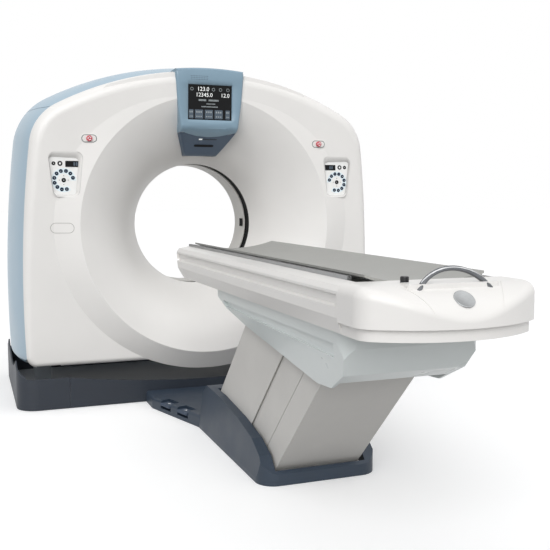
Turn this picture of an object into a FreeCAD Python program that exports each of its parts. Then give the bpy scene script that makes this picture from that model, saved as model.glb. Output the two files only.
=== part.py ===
import FreeCAD, Part
import math
import os
import re
import Sketcher

# A computed tomography scanner: a tilting ring-shaped gantry on a floor base, and a patient
# table whose top rises on parallel arms and whose cradle slides into the bore.
# Frame: origin on the floor straight below the isocentre, +X across the gantry, +Y from the
# table's side of the gantry to its rear, +Z up. All lengths are in millimetres.

os.makedirs("parts", exist_ok=True)
doc = FreeCAD.newDocument("ct_scanner")
sheet = doc.addObject("Spreadsheet::Sheet", "sizes")
Vector = FreeCAD.Vector


# ---------------------------------------------------------------- driving dimensions

# gantry shell, seen from the front
iso_height = 990  # height of the bore axis and tilt axis over the floor
shell_half_width = 1040  # white covers, half width at their edge
shell_top = 880  # white covers, top over the bore axis
shell_bottom = 780  # white covers, bottom edge below the bore axis
crown_radius = 1794  # radius of the arched top
shoulder_radius = 270  # radius of the upper corners
flank_radius = 7000  # radius of the slightly bowed sides
flank_centre = 390  # widest level of the sides, below the bore axis
sill_radius = 60  # radius of the lower corners
cover_wall = 8  # thickness of the moulded covers
cover_gap = 2  # seam between neighbouring covers
edge_round_foot = 30  # rounding of the front cover's outer edge at the foot
edge_round_top = 70  # rounding of the front cover's outer edge at the top
rear_round = 80  # rounding of the rear cover's outer edge
band_flare = 60  # how far the blue band stands out at its middle
band_top_flare = 70  # how far the band stands out at the top

# gantry shell, seen from the side
rim_depth = 434  # front plane of the dish rim, ahead of the scan plane
sill_depth = 360  # front face at the bottom edge, ahead of the scan plane
front_edge = 320  # seam of the front cover, ahead of the scan plane
rear_edge = 500  # seam of the rear cover, behind the scan plane
rear_depth = 600  # rear face, behind the scan plane
band_middle = 90  # widest plane of the band, behind the scan plane
rear_bottom = 700  # rear cover's bottom edge below the bore axis

# bore
rim_radius = 738  # radius of the dish rim
throat_radius = 366  # radius of the tunnel
throat_front = 50  # front end of the tunnel, ahead of the scan plane
tunnel_rear = 240  # rear end of the tunnel, behind the scan plane
dish_radius = 620  # radius of the dish's curved section
rear_rim_radius = 640  # radius of the rear dish rim
rear_dish_radius = 560  # radius of the rear dish's curved section
boss_radius = 913  # radius of the raised ring's foot on the front face
boss_rise = 65  # height of that circle's centre over the bore axis
boss_depth = 356  # lowest point of that circle, ahead of the scan plane
boss_depth_top = 426  # highest point of that circle, ahead of the scan plane
window_recess = 8  # how far the scan window lies outside the tunnel wall
window_wall = 4  # thickness of the scan window
liner_wall = 6  # thickness of the tunnel liner
laser_proud = 3.5  # how far the laser window stands into the tunnel

# display and controls on the front cover
display_half_top = 200
display_half_bottom = 99
display_foot = 407  # lowest point of the display housing over the bore axis
display_split = 536  # lowest point of the seam between the upper and lower display covers
display_seam_radius = 300  # the seam is a hanging arc
display_crease = 552  # level where the display's face bends back to follow the dish
display_crown = 10  # how far the display's top stands out from the arch
display_round = 14  # rounding of the display's front edges
display_hood = 32  # how far the hood reaches below the top of the arch
display_thick = 34
display_proud = 18  # how far the display stands out from the rim plane
screen_half_width = 129
screen_top = 796
screen_bottom = 600
screen_thick = 5
screen_sunk = 4  # how deep the glass lies behind the display's face
screen_gap = 0.4
panel_place = 806  # control panels, distance from the middle plane
panel_level = 286  # control panels, height over the bore axis
panel_height = 244
panel_top_width = 190
panel_bottom_width = 136
panel_recess = 20
panel_corner = 34
keypad_thick = 6
stop_place = 680  # stop buttons, distance from the middle plane
stop_level = 480  # stop buttons, height over the bore axis
stop_bezel_width = 84
stop_bezel_height = 44
stop_bezel_thick = 5
stop_button_radius = 16
stop_button_height = 12
stop_travel = 5
plate_place = 832  # flush service plate, distance from the middle plane
plate_level = 6  # flush service plate, height below the bore axis
plate_width = 122
plate_height = 54
plate_thick = 3

# rotor and its bearing
rotor_inner = 404
rotor_outer = 735
rotor_plate = 26  # thickness of the rotor's disc
rotor_plate_front = 58  # front face of the rotor's disc, behind the scan plane
race_inner = 430
race_gap_radius = 470  # running surface of the main bearing
race_outer = 520
race_length = 46
running_clearance = 0.05
open_clearance = 1.0  # play at the rear arms' upper pivot
seat_gap = 0.3  # gap between pieces of different bodies that lie close
ring_radius = 462  # outer radius of the slip ring
ring_length = 60
tube_reach = 590  # x-ray tube axis, distance from the bore axis
tube_radius = 95
tube_length = 250
detector_inner = 560
detector_outer = 655
detector_angle = 29  # half angle of the detector arc in degrees
detector_width = 96
generator_width = 170
generator_height = 300
generator_depth = 150
balance_radius = 600
balance_size = 130
belt_width = 22
belt_thick = 4
pulley_radius = 60
pulley_place_x = 560
pulley_place_z = 620
motor_radius = 74
motor_length = 170

# tilting frame, pillars and base
frame_outer = 700  # radius of the tilting frame's plate
frame_plate = 30
cheek_place = 770  # inner face of the frame's side cheeks
cheek_thick = 40
cheek_height = 260
trunnion_radius = 45
bush_wall = 10
pillar_place = 865  # inner face of the pillars
pillar_thick = 100
pillar_foot_front = 92
pillar_foot_rear = 130
pillar_knee = 760  # where the pillars start to spread, below the tilt axis
corridor_gap = 15  # room left beside the pillars in the covers
tilt_motor_radius = 66
tilt_motor_length = 62
pillar_head_half = 92
pillar_head_rise = 92
base_half_width = 1095
base_front = 486
base_rear = 604
base_wall_top = 172
base_corner = 110
base_wall = 8
base_seam = 820  # seams of the base's front and rear walls, from the middle
base_shoulder_top = 306
cheek_crest = 262  # level where the base's side walls start to fall to their ends
cheek_crest_front = 340
cheek_crest_rear = 360
cheek_end_front = 470
cheek_end_rear = 590
band_swing = 800  # radius of the band's lower edge about the tilt axis
swing_gap = 10  # gap between the band's lower edge and the base
floor_plate = 16
wall_dip = 109  # lowest level of the base's front wall
wall_dip_radius = 5528

# table: places along the depth are distances from the scan plane towards the foot end
arm_length = 780
arm_angle = 45  # arms' rise over the floor at rest, degrees
arm_front_place = 1450
arm_rear_place = 1950
arm_pivot_height = 130
arm_half_gap = 118  # inner face of the arm plates from the middle plane
arm_plate = 18
arm_width = 76
pin_radius = 16
skin = 4  # thickness of the pedestal's covers
pedestal_half_width = 196
panel_inset = 9  # how far the inner panels lie inside the head cover
head_cover_front = 197  # head cover, distance of its face from the front arm's line
head_cover_rear = 152  # head cover, how far it reaches past the front arm's line
head_cover_low = -133  # head cover, lower end of its face along the arm
head_cover_high = 546  # head cover, upper end of its face along the arm
head_cover_low_rear = 194
head_cover_high_rear = 807
foot_cover_front = 42  # foot cover, reach towards the head from the rear arm's line
foot_cover_rear = 72  # foot cover, distance of its face from the rear arm's line
foot_cover_low = -60
foot_cover_low_front = -90  # lower front corner of the foot cover, along the arm
foot_cover_high = 680
middle_front = 233  # middle panels, reach towards the head from the rear arm's line
middle_low = -162
middle_low_rear = -80
middle_high = 352
middle_shoulder = 201
middle_shoulder_high = 450
panel_groove = 3  # seam between the foot cover and the middle panels
stay_radius = 10  # bars that carry the pedestal covers
table_head = 850
table_foot = 2990
table_half_width = 305
table_top = 898
table_underside = 743
groove_top = 866
groove_bottom = 822
groove_depth = 12
groove_end = 2790
nose_radius = 110  # rounding under the table's head end
table_wall = 6
nose_bulge = 58
nose_drop = 95  # how much lower the foot end's top edge lies
nose_run = 150  # length over which the top falls to the foot end
nose_sweep = 485  # radius of the foot end in plan
nose_corner = 80  # radius of the foot end's corners in plan
nose_round = 34  # rounding round the foot end's top
nose_step = 14  # how far the foot end steps in below its band
nose_step_top = 780  # level of that step
nose_seam_wide = 2.5  # seam of the shield-shaped lid on the foot end
nose_seam_deep = 2
nose_seam_outer = 184  # wide end of the shield, from the middle plane
nose_seam_inner = 100  # narrow end of the shield, from the middle plane
nose_seam_start = 2917
cap_start = 2800
rail_place = 236
rail_wide = 14
rail_high = 14
rail_end = 2740
cradle_half_width = 212
cradle_top = 918
cradle_thick = 26
cradle_dish = 34  # how deep the cradle's hollow is
cradle_head = 870
cradle_foot = 2795
handle_half_width = 132
handle_place = 2962
handle_foot = 890
handle_top = 951
handle_radius = 8
knob_radius = 13
knob_height = 20
knob_x = 120
knob_y = 2872

# table base, pedals
boat_half_width = 262
boat_head = 1100
boat_foot = 2022
boat_head_top = 224
boat_middle_top = 190
boat_foot_top = 48
boat_wall = 6
boat_corner = 80
boat_lean = 30  # how far the flanks lean in towards their top
boat_seat = 12
step_half_wide = 400
step_half_narrow = 262
step_top = 62
step_bend = 640
pedal_length = 96
pedal_width = 52
pedal_thick = 14
pedal_level = 50  # top of the pedals over the floor
pedal_gap = 4
pedal_pin_radius = 4

# ---------------------------------------------------------------- the sheet that drives the model

ALIASES = [name for name, value in globals().items() if name.islower() and type(value) in (int, float)]
for row, alias in enumerate(ALIASES, 1):
    sheet.set("A%d" % row, alias.replace("_", " "))
    sheet.set("B%d" % row, str(globals()[alias]))
    sheet.setAlias("B%d" % row, alias)


def bind(text):
    """Turns a formula of plain size names into one that an object of the document can hold."""
    return re.sub(r"[a-z][a-z_0-9]*", lambda m: "sizes." + m.group() if m.group() in ALIASES else m.group(), text)


doc.recompute()


def num(text):
    """The present value of a formula of size names."""
    return float(sheet.evalExpression(bind(str(text))))


# ---------------------------------------------------------------- how pieces are made

ORIGIN = ("0", "0", "0")
ISO = ("0", "0", "iso_height")
PIECES = []


class Piece:
    """One solid piece of the scanner, built as a body from sketches and features."""

    def __init__(self, name, place=ORIGIN):
        self.body = doc.addObject("PartDesign::Body", name)
        self.body.Label = name
        for axis, text in zip("xyz", place):
            self.body.setExpression(".Placement.Base." + axis, bind(text))
        PIECES.append(self.body)

    def add(self, kind, name):
        return self.body.newObject(kind, self.body.Name + "_" + name)

    def sketch(self, name, plane, offset="0"):
        """A sketch on one of the body's own planes, moved along its normal by offset."""
        flat = self.add("Sketcher::SketchObject", name)
        support = [o for o in self.body.Origin.OriginFeatures if o.Role == plane + "_Plane"][0]
        flat.AttachmentSupport = [(support, "")]
        flat.MapMode = "FlatFace"
        flat.setExpression(".AttachmentOffset.Base.z", bind(offset))
        return flat

    def outline(self, name, plane, corners, offset="0"):
        """A closed outline. A corner is (across, up), or (across, up, radius) where an arc starts:
        a positive radius turns left on the way to the next corner, a negative one turns right."""
        flat = self.sketch(name, plane, offset)
        draw_loop(flat, corners)
        return flat

    def circles(self, name, plane, rings, offset="0"):
        """Circles in one sketch, each (across, up, radius)."""
        flat = self.sketch(name, plane, offset)
        for across, up, radius in rings:
            draw_circle(flat, across, up, radius)
        return flat

    def pad(self, name, flat, length, both_ways=False, back=False):
        solid = self.add("PartDesign::Pad", name)
        solid.Profile = flat
        solid.setExpression("Length", bind(length))
        if both_ways:
            solid.SideType = "Symmetric"
        solid.Reversed = back
        return solid

    def pocket(self, name, flat, length, both_ways=False, back=False):
        """A cut that is checked to take material away."""
        doc.recompute()
        before = self.body.Shape.Volume
        cut = self.add("PartDesign::Pocket", name)
        cut.Profile = flat
        cut.setExpression("Length", bind(length))
        if both_ways:
            cut.SideType = "Symmetric"
        cut.Reversed = back
        doc.recompute()
        if self.body.Shape.Volume >= before:
            raise RuntimeError(name + " cuts nothing from " + self.body.Name)
        return cut

    def turn(self, name, flat, axis, angle="360", cut=False, both_ways=False):
        """A solid, or a groove, turned about one of the body's own axes."""
        kind = "PartDesign::Groove" if cut else "PartDesign::Revolution"
        solid = self.add(kind, name)
        solid.Profile = flat
        line = [o for o in self.body.Origin.OriginFeatures if o.Role == axis + "_Axis"][0]
        solid.ReferenceAxis = (line, [""])
        solid.setExpression("Angle", bind(angle))
        solid.Midplane = both_ways
        return solid

    def soften(self, name, wanted, radius, chamfer=False):
        """Rounds or chamfers the edges that the test 'wanted' picks."""
        doc.recompute()
        tip = self.body.Tip
        edges = ["Edge%d" % (i + 1) for i, e in enumerate(tip.Shape.Edges) if wanted(e)]
        if not edges:
            raise RuntimeError(name + " finds no edge on " + self.body.Name)
        dress = self.add("PartDesign::Chamfer" if chamfer else "PartDesign::Fillet", name)
        dress.Base = (tip, edges)
        dress.setExpression("Size" if chamfer else "Radius", bind(radius))
        return dress


def draw_loop(flat, corners):
    """Draws a closed loop whose corners and radii are bound to the sheet."""
    count = len(corners)
    places = [(num(c[0]), num(c[1])) for c in corners]
    for i, corner in enumerate(corners):
        a = Vector(places[i][0], places[i][1], 0)
        b = Vector(places[(i + 1) % count][0], places[(i + 1) % count][1], 0)
        if len(corner) == 3:
            flat.addGeometry(arc_between(a, b, num(corner[2])))
        else:
            flat.addGeometry(Part.LineSegment(a, b))
    first = [start_point(corners[i]) for i in range(count)]
    for i in range(count):
        after = (i + 1) % count
        flat.addConstraint(Sketcher.Constraint("Coincident", i, 3 - first[i], after, first[after]))
    for i, corner in enumerate(corners):
        for kind, text, value in (("DistanceX", corner[0], places[i][0]), ("DistanceY", corner[1], places[i][1])):
            number = flat.addConstraint(Sketcher.Constraint(kind, -1, 1, i, first[i], value))
            flat.setExpression("Constraints[%d]" % number, bind(text))
        if len(corner) == 3:
            radius = abs(num(corner[2]))
            number = flat.addConstraint(Sketcher.Constraint("Radius", i, radius))
            flat.setExpression("Constraints[%d]" % number, "abs(" + bind(corner[2]) + ")")


def start_point(corner):
    """Which end of a sketch arc is its corner: arcs always run anticlockwise."""
    return 2 if len(corner) == 3 and num(corner[2]) < 0 else 1


def arc_between(a, b, radius):
    """The short arc from a to b, turning left for a positive radius."""
    middle = (a + b) * 0.5
    half = (b - a).Length / 2
    rise = math.sqrt(max(radius * radius - half * half, 0))
    left = Vector(-(b - a).y, (b - a).x, 0)
    left.normalize()
    centre = middle + left * (rise if radius > 0 else -rise)
    start, end = (a, b) if radius > 0 else (b, a)
    circle = Part.Circle(centre, Vector(0, 0, 1), abs(radius))
    return Part.ArcOfCircle(circle, circle.parameter(start), circle.parameter(end))


def draw_circle(flat, across, up, radius):
    number = flat.addGeometry(Part.Circle(Vector(num(across), num(up), 0), Vector(0, 0, 1), num(radius)))
    for kind, text in (("DistanceX", across), ("DistanceY", up)):
        rule = flat.addConstraint(Sketcher.Constraint(kind, -1, 1, number, 3, num(text)))
        flat.setExpression("Constraints[%d]" % rule, bind(text))
    rule = flat.addConstraint(Sketcher.Constraint("Radius", number, num(radius)))
    flat.setExpression("Constraints[%d]" % rule, bind(radius))


def keep_shape(name, shape, place=ORIGIN):
    """A piece whose free-form shape is worked out in code from the sheet's sizes."""
    item = doc.addObject("Part::Feature", name)
    item.Label = name
    item.Shape = shape.removeSplitter()
    item.Placement = FreeCAD.Placement(Vector(*[num(text) for text in place]), FreeCAD.Rotation())
    PIECES.append(item)
    return item


def box(low, high):
    """A plain block between two corners, used as a cutting tool and for simple lugs."""
    spans = [high[i] - low[i] for i in range(3)]
    return Part.makeBox(spans[0], spans[1], spans[2], Vector(*low))


def rod(start, end, radius):
    """A round bar from start to end."""
    a, b = Vector(*start), Vector(*end)
    return Part.makeCylinder(radius, (b - a).Length, a, b - a)


def prism(points, depth):
    """A straight solid over a closed polygon of points."""
    corners = [Vector(*p) for p in points]
    return Part.Face(Part.makePolygon(corners + corners[:1])).extrude(Vector(*depth))


def both_sides(shape):
    """A shape together with its mirror image across the middle plane."""
    return Part.makeCompound([shape, shape.mirror(Vector(0, 0, 0), Vector(1, 0, 0))])


def mirrored(shape):
    return shape.mirror(Vector(0, 0, 0), Vector(1, 0, 0))


# ---------------------------------------------------------------- gantry shell outline

def shell_outline(depth, inset=0.0, flare=0.0, top_flare=0.0, bottom=None):
    """The gantry's closed outline in the plane y = depth: arched top, rounded shoulders, bowed
    flanks and a straight sill, all tangent. inset makes it smaller all round."""
    half = num("shell_half_width") + flare - inset
    top = num("shell_top") + top_flare - inset
    sill = -(num("shell_bottom") if bottom is None else bottom) + inset
    crown = num("crown_radius") + top_flare - inset
    flank = num("flank_radius") + flare - inset
    shoulder = num("shoulder_radius") + top_flare - inset
    corner = num("sill_radius") - inset
    crown_centre = (0.0, top - crown)
    flank_centre = (half - flank, -num("flank_centre"))
    shoulder_centre = meet(crown_centre, crown - shoulder, flank_centre, flank - shoulder)
    rise = sill + corner - flank_centre[1]
    corner_centre = (flank_centre[0] + math.sqrt((flank - corner) ** 2 - rise ** 2), sill + corner)
    crown_end = along(crown_centre, shoulder_centre, crown)
    flank_top = along(flank_centre, shoulder_centre, flank)
    flank_foot = along(flank_centre, corner_centre, flank)
    sill_end = (corner_centre[0], sill)
    right = [crown_end, toward(shoulder_centre, crown_end, flank_top, shoulder), flank_top,
             toward(flank_centre, flank_top, flank_foot, flank), flank_foot,
             toward(corner_centre, flank_foot, sill_end, corner), sill_end]
    left = [(-x, z) for x, z in reversed(right)]
    run = right + left + [(0.0, top), crown_end]
    points = [Vector(x, depth, z) for x, z in run]
    edges = [Part.Arc(points[i], points[i + 1], points[i + 2]).toShape() for i in (0, 2, 4)]
    edges.append(Part.LineSegment(points[6], points[7]).toShape())
    edges += [Part.Arc(points[i], points[i + 1], points[i + 2]).toShape() for i in (7, 9, 11, 13)]
    return Part.Wire(edges)


def meet(a, reach_a, b, reach_b):
    """The upper right point that lies reach_a from a and reach_b from b."""
    gap = math.hypot(b[0] - a[0], b[1] - a[1])
    run = (reach_a ** 2 - reach_b ** 2 + gap ** 2) / (2 * gap)
    rise = math.sqrt(reach_a ** 2 - run ** 2)
    ux, uz = (b[0] - a[0]) / gap, (b[1] - a[1]) / gap
    candidates = [(a[0] + ux * run - uz * rise, a[1] + uz * run + ux * rise),
                  (a[0] + ux * run + uz * rise, a[1] + uz * run - ux * rise)]
    return max(candidates, key=lambda p: p[0])


def along(centre, through, radius):
    """The point on a circle where the line from its centre through another point meets it."""
    gap = math.hypot(through[0] - centre[0], through[1] - centre[1])
    return (centre[0] + (through[0] - centre[0]) * radius / gap,
            centre[1] + (through[1] - centre[1]) * radius / gap)


def toward(centre, a, b, radius):
    """The middle of the arc from a to b about centre."""
    return along(centre, ((a[0] + b[0]) / 2, (a[1] + b[1]) / 2), radius)


def shell_prism(front, rear, inset=0.0, bottom=None):
    """The gantry's outline pulled along the depth, from y = front to y = rear."""
    face = Part.Face(shell_outline(front, inset, bottom=bottom))
    return face.extrude(Vector(0, rear - front, 0))


def front_face_plane(level):
    """The y of the leaning front face at a level over the bore axis."""
    top_y, top_level = -num("rim_depth"), num("rim_radius")
    foot_y, foot_level = -num("sill_depth"), -num("shell_bottom")
    return foot_y + (top_y - foot_y) * (level - foot_level) / (top_level - foot_level)


def ahead_of_face(shift=0.0):
    """Everything in front of the leaning front face, moved back by shift."""
    reach = num("shell_half_width") * 2
    low, high = -num("shell_bottom") * 2, num("shell_top") * 2
    return prism([(-reach, front_face_plane(low) + shift, low), (-reach, front_face_plane(high) + shift, high),
                  (-reach, -reach, high), (-reach, -reach, low)], (2 * reach, 0, 0))


def turned(points, curve=None):
    """A ring turned about the bore axis from a closed section of (depth, radius) points. A curve
    is {index: (depth, radius)}: the middle point of the arc that starts at that corner."""
    spots = [Vector(0, y, r) for y, r in points]
    edges = []
    for i, spot in enumerate(spots):
        after = spots[(i + 1) % len(spots)]
        if curve and i in curve:
            edges.append(Part.Arc(spot, Vector(0, *curve[i]), after).toShape())
        else:
            edges.append(Part.LineSegment(spot, after).toShape())
    face = Part.Face(Part.Wire(edges))
    return face.revolve(Vector(0, 0, 0), Vector(0, 1, 0), 360)


def dish_middle(rim, throat, radius, offset=0.0):
    """The middle point of a dish's curved section between its rim and its throat."""
    (y1, r1), (y2, r2) = rim, throat
    half = math.hypot(y2 - y1, r2 - r1) / 2
    sag = radius - math.sqrt(radius ** 2 - half ** 2)
    ny, nr = (r2 - r1) / (2 * half), -(y2 - y1) / (2 * half)
    if nr > 0:
        ny, nr = -ny, -nr
    return ((y1 + y2) / 2 + ny * (sag - offset), (r1 + r2) / 2 + nr * (sag - offset))


def dish_parts(rim, throat, radius, wall, way):
    """A dish's wall and the empty space in front of it. way is -1 at the front, 1 at the rear."""
    middle = dish_middle(rim, throat, radius)
    back = dish_middle(rim, throat, radius, wall)
    back_rim = (rim[0] - way * wall * 0.45, rim[1] + wall * 0.9)
    back_throat = (throat[0], throat[1] + wall)
    skin = turned([rim, throat, back_throat, back_rim], {0: middle, 2: back})
    far = rim[0] + way * 300
    void = turned([(throat[0] - way * 30, 0), (throat[0] - way * 30, throat[1]), throat, rim,
                   (far, rim[1]), (far, 0)], {2: middle})
    return skin, void


# ---------------------------------------------------------------- front cover

def front_block(inset):
    """The front cover's outer form, or its inner form when inset by the wall."""
    edge = -num("front_edge")
    block = shell_prism(-num("rim_depth") - 40, edge + 2 * inset, inset)
    block = soften_face(block.cut(ahead_of_face(inset)), inset)
    foot = Part.Wire(Part.makeCircle(num("boss_radius") - inset, Vector(0, 0, 0), Vector(0, 1, 0)))
    low, high = num("boss_depth"), num("boss_depth_top")
    foot.rotate(Vector(0, 0, 0), Vector(1, 0, 0), math.degrees(math.asin((high - low) / 2 / num("boss_radius"))))
    foot.translate(Vector(0, inset - (low + high) / 2, num("boss_rise")))
    rim = Part.Wire(Part.makeCircle(num("rim_radius") - inset / 2, Vector(0, -num("rim_depth") + inset, 0),
                                    Vector(0, 1, 0)))
    boss = Part.makeLoft([rim, foot], True, True)
    boss = boss.common(shell_prism(-num("rim_depth") - 40, edge, inset + 10, num("shell_bottom") + 200))
    reach = num("shell_half_width")
    skirt = Part.Face(foot).extrude(Vector(0, reach, 0))
    skirt = skirt.common(box((-reach, -reach, -2 * reach), (reach, edge + 2 * inset, -num("rim_radius") + 40)))
    return block.fuse([boss, skirt])


def soften_face(block, inset):
    """Rounds the front face's edge, narrow at the foot where the cover is shallow, wide at the top."""
    low, high = -num("shell_bottom"), num("shell_top")
    narrow, wide = num("edge_round_foot"), num("edge_round_top")
    rows = []
    for number, edge in enumerate(block.Edges):
        if on_face(edge, inset) and all(v.Y < -num("front_edge") - 5 for v in edge.Vertexes):
            ends = [narrow + (wide - narrow) * (v.Z - low) / (high - low) - inset for v in edge.Vertexes]
            rows.append((number + 1, ends[0], ends[-1]))
    base = doc.addObject("Part::Feature", "front_form")
    base.Shape = block
    rounded = doc.addObject("Part::Fillet", "front_form_rounded")
    rounded.Base = base
    rounded.Edges = rows
    doc.recompute()
    return rounded.Shape


def on_face(edge, inset):
    """Whether an edge lies in the leaning front face."""
    return all(abs(v.Y - front_face_plane(v.Z) - inset) < 0.5 for v in edge.Vertexes)


def panel_opening(side, grow, front, rear):
    """The space of a control panel's recess: a rounded trapezium, wider at the top."""
    x, z = num("panel_place"), num("panel_level")
    top, low = num("panel_top_width") / 2 + grow, num("panel_bottom_width") / 2 + grow
    high = num("panel_height") / 2 + grow
    shape = prism([(x - low, front, z - high), (x - top, front, z + high), (x + top, front, z + high),
                   (x + low, front, z - high)], (0, rear - front, 0))
    shape = shape.makeFillet(num("panel_corner") + grow, [e for e in shape.Edges if len(e.Vertexes) == 2
                             and abs(e.Vertexes[0].Y - e.Vertexes[1].Y) > 1])
    return shape if side > 0 else mirrored(shape)


def display_footprint(grow, front, rear):
    """The display housing's outline seen from the front, pulled along the depth."""
    top, low = num("display_half_top") + grow, num("display_half_bottom") + grow
    high, foot = num("shell_top") + 200, num("display_foot") - grow
    slope = (top - low) / (num("shell_top") - num("display_foot"))
    wide = low + slope * (high - foot)
    return prism([(-low, front, foot), (-wide, front, high), (wide, front, high), (low, front, foot)],
                 (0, rear - front, 0))


def make_front_cover():
    wall = num("cover_wall")
    outer = front_block(0.0)
    shell = outer.cut(front_block(wall))
    reach = -num("rim_depth") - 60
    face = front_face_plane(num("panel_level"))
    for side in (-1, 1):
        pan = panel_opening(side, 6, face + 2, face + num("panel_recess") + 6)
        shell = shell.fuse(pan)
        shell = shell.cut(panel_opening(side, 0, reach, face + num("panel_recess")))
    rim = (-num("rim_depth"), num("rim_radius"))
    throat = (-num("throat_front"), num("throat_radius"))
    skin, void = dish_parts(rim, throat, num("dish_radius"), wall, -1)
    notch = display_footprint(num("seat_gap"), reach - 40, -num("throat_front") - 100)
    shell = shell.cut([void, skin, notch])
    seats = [stop_pill(side, num("seat_gap"), reach, 0).common(ahead_of_face()) for side in (-1, 1)]
    shell = shell.cut([stop_hole(-1), stop_hole(1)] + seats)
    shell = shell.cut(corridors(-num("sill_depth") + wall, -num("front_edge") + 5 * wall))
    under = front_block(num("plate_thick"))
    shell = shell.cut(plate_prism(num("seat_gap")).cut(under))
    keep_shape("service_plate", outer.cut(under).common(plate_prism(0.0)), ISO)
    keep_shape("front_cover", shell, ISO)
    keep_shape("front_funnel", skin.cut(notch), ISO)


def corridors(front, rear):
    """Room for the pillars to pass the covers' bottom walls when the gantry tilts."""
    inner = num("pillar_place") - num("corridor_gap")
    outer = num("pillar_place") + num("pillar_thick") + num("corridor_gap")
    low = -num("shell_bottom")
    return both_sides(box((inner, front, low - 20), (outer, rear, low + 140)))


def stop_hole(side):
    """The round hole behind a stop button."""
    x, z = side * num("stop_place"), num("stop_level")
    return rod((x, -num("rim_depth") - 50, z), (x, -num("front_edge"), z), num("stop_button_radius") + 3)


def stop_pill(side, grow, front, rear):
    """A stop button's pill-shaped bezel, pulled along the depth."""
    x, z = side * num("stop_place"), num("stop_level")
    wide, high = num("stop_bezel_width") / 2 + grow, num("stop_bezel_height") / 2 + grow
    pill = box((x - wide, front, z - high), (x + wide, rear, z + high))
    return pill.makeFillet(high - 0.5, [e for e in pill.Edges if abs(e.Vertexes[0].Y - e.Vertexes[1].Y) > 1])


def plate_prism(grow):
    """The service plate's pill-shaped outline, pulled through the front cover."""
    x, z = -num("plate_place"), -num("plate_level")
    wide, high = num("plate_width") / 2 + grow, num("plate_height") / 2 + grow
    shape = box((x - wide, -num("rim_depth") - 40, z - high), (x + wide, -num("front_edge"), z + high))
    return shape.makeFillet(high - 0.5, [e for e in shape.Edges if abs(e.Vertexes[0].Y - e.Vertexes[1].Y) > 1])


# ---------------------------------------------------------------- other gantry covers

def make_rear_cover():
    wall, edge, back = num("cover_wall"), num("rear_edge"), num("rear_depth")
    low = num("rear_bottom")
    outer = shell_prism(edge, back, 0.0, low)
    outer = outer.makeFillet(num("rear_round"), [e for e in outer.Edges if all(v.Y > back - 1 for v in e.Vertexes)])
    inner = shell_prism(edge - 2 * wall, back - wall, wall, low)
    inner = inner.makeFillet(num("rear_round") - wall,
                             [e for e in inner.Edges if all(v.Y > back - wall - 1 for v in e.Vertexes)])
    rim = (back, num("rear_rim_radius"))
    throat = (num("tunnel_rear"), num("throat_radius"))
    skin, void = dish_parts(rim, throat, num("rear_dish_radius"), wall, 1)
    shell = outer.cut(inner).cut([void, skin, corridors(edge - 3 * wall, back - num("rear_round") / 2)])
    keep_shape("rear_cover", shell, ISO)
    keep_shape("rear_funnel", skin, ISO)


def band_block(inset):
    """The band between the front and rear covers, which flares out to its middle."""
    gap = num("cover_gap")
    front, rear = -num("front_edge") + gap, num("rear_edge") - gap
    flare, top = num("band_flare"), num("band_top_flare")
    low = num("shell_bottom")
    wires = [shell_outline(front - 2 * inset, inset, bottom=low), shell_outline(num("band_middle"), inset, flare, top, low),
             shell_outline(rear + 2 * inset, inset, bottom=low)]
    return Part.makeLoft(wires, True, False)


def make_band():
    """Blue side covers and top cover, and the dark pan that closes the shell below."""
    wall, gap = num("cover_wall"), num("cover_gap")
    ring = band_block(0.0).cut(band_block(wall))
    reach, low, seam = 3000, -num("shell_bottom"), num("shell_top") - 225
    swing = Part.makeCylinder(num("band_swing"), 2 * reach, Vector(-reach, 0, 0), Vector(1, 0, 0))
    inner_edge = num("base_seam") + 18
    open_edge = num("pillar_place") + num("pillar_thick") + num("corridor_gap")
    left = ring.common(box((-reach, -reach, low - 300), (-reach / 5, reach, seam - gap / 2)))
    left = left.cut(box((-open_edge, -reach, low - 300), (0, reach, low + 80))).common(swing)
    keep_shape("side_covers", Part.makeCompound([left, mirrored(left)]), ISO)
    keep_shape("top_cover", ring.common(box((-reach, -reach, seam + gap / 2), (reach, reach, reach))), ISO)
    pan = ring.common(box((-inner_edge + gap, -reach, low - 5), (inner_edge - gap, reach, low + 60)))
    keep_shape("bottom_pan", pan, ISO)


def make_tunnel():
    """The dark scan window over the beam and the grey liner behind it."""
    inner = num("throat_radius") + num("window_recess")
    half = num("throat_front")
    window = Piece("scan_window", ISO)
    ring = window.circles("ring", "XZ", [("0", "0", "throat_radius + window_recess + window_wall"),
                                         ("0", "0", "throat_radius + window_recess")])
    window.pad("band", ring, "2 * throat_front - 2 * seat_gap", both_ways=True)
    liner = Piece("tunnel_liner", ISO)
    ring = liner.circles("ring", "XZ", [("0", "0", "throat_radius + liner_wall"), ("0", "0", "throat_radius")],
                         "-throat_front")
    liner.pad("tube", ring, "tunnel_rear - throat_front - seat_gap", back=True)
    lens = Piece("laser_window", ISO)
    flat = lens.outline("pane", "YZ", [("88", "-24"), ("116", "-24"), ("116", "24"), ("88", "24")],
                        "throat_radius - laser_proud")
    lens.pad("block", flat, "laser_proud - 0.9")


# ---------------------------------------------------------------- display and controls

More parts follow.
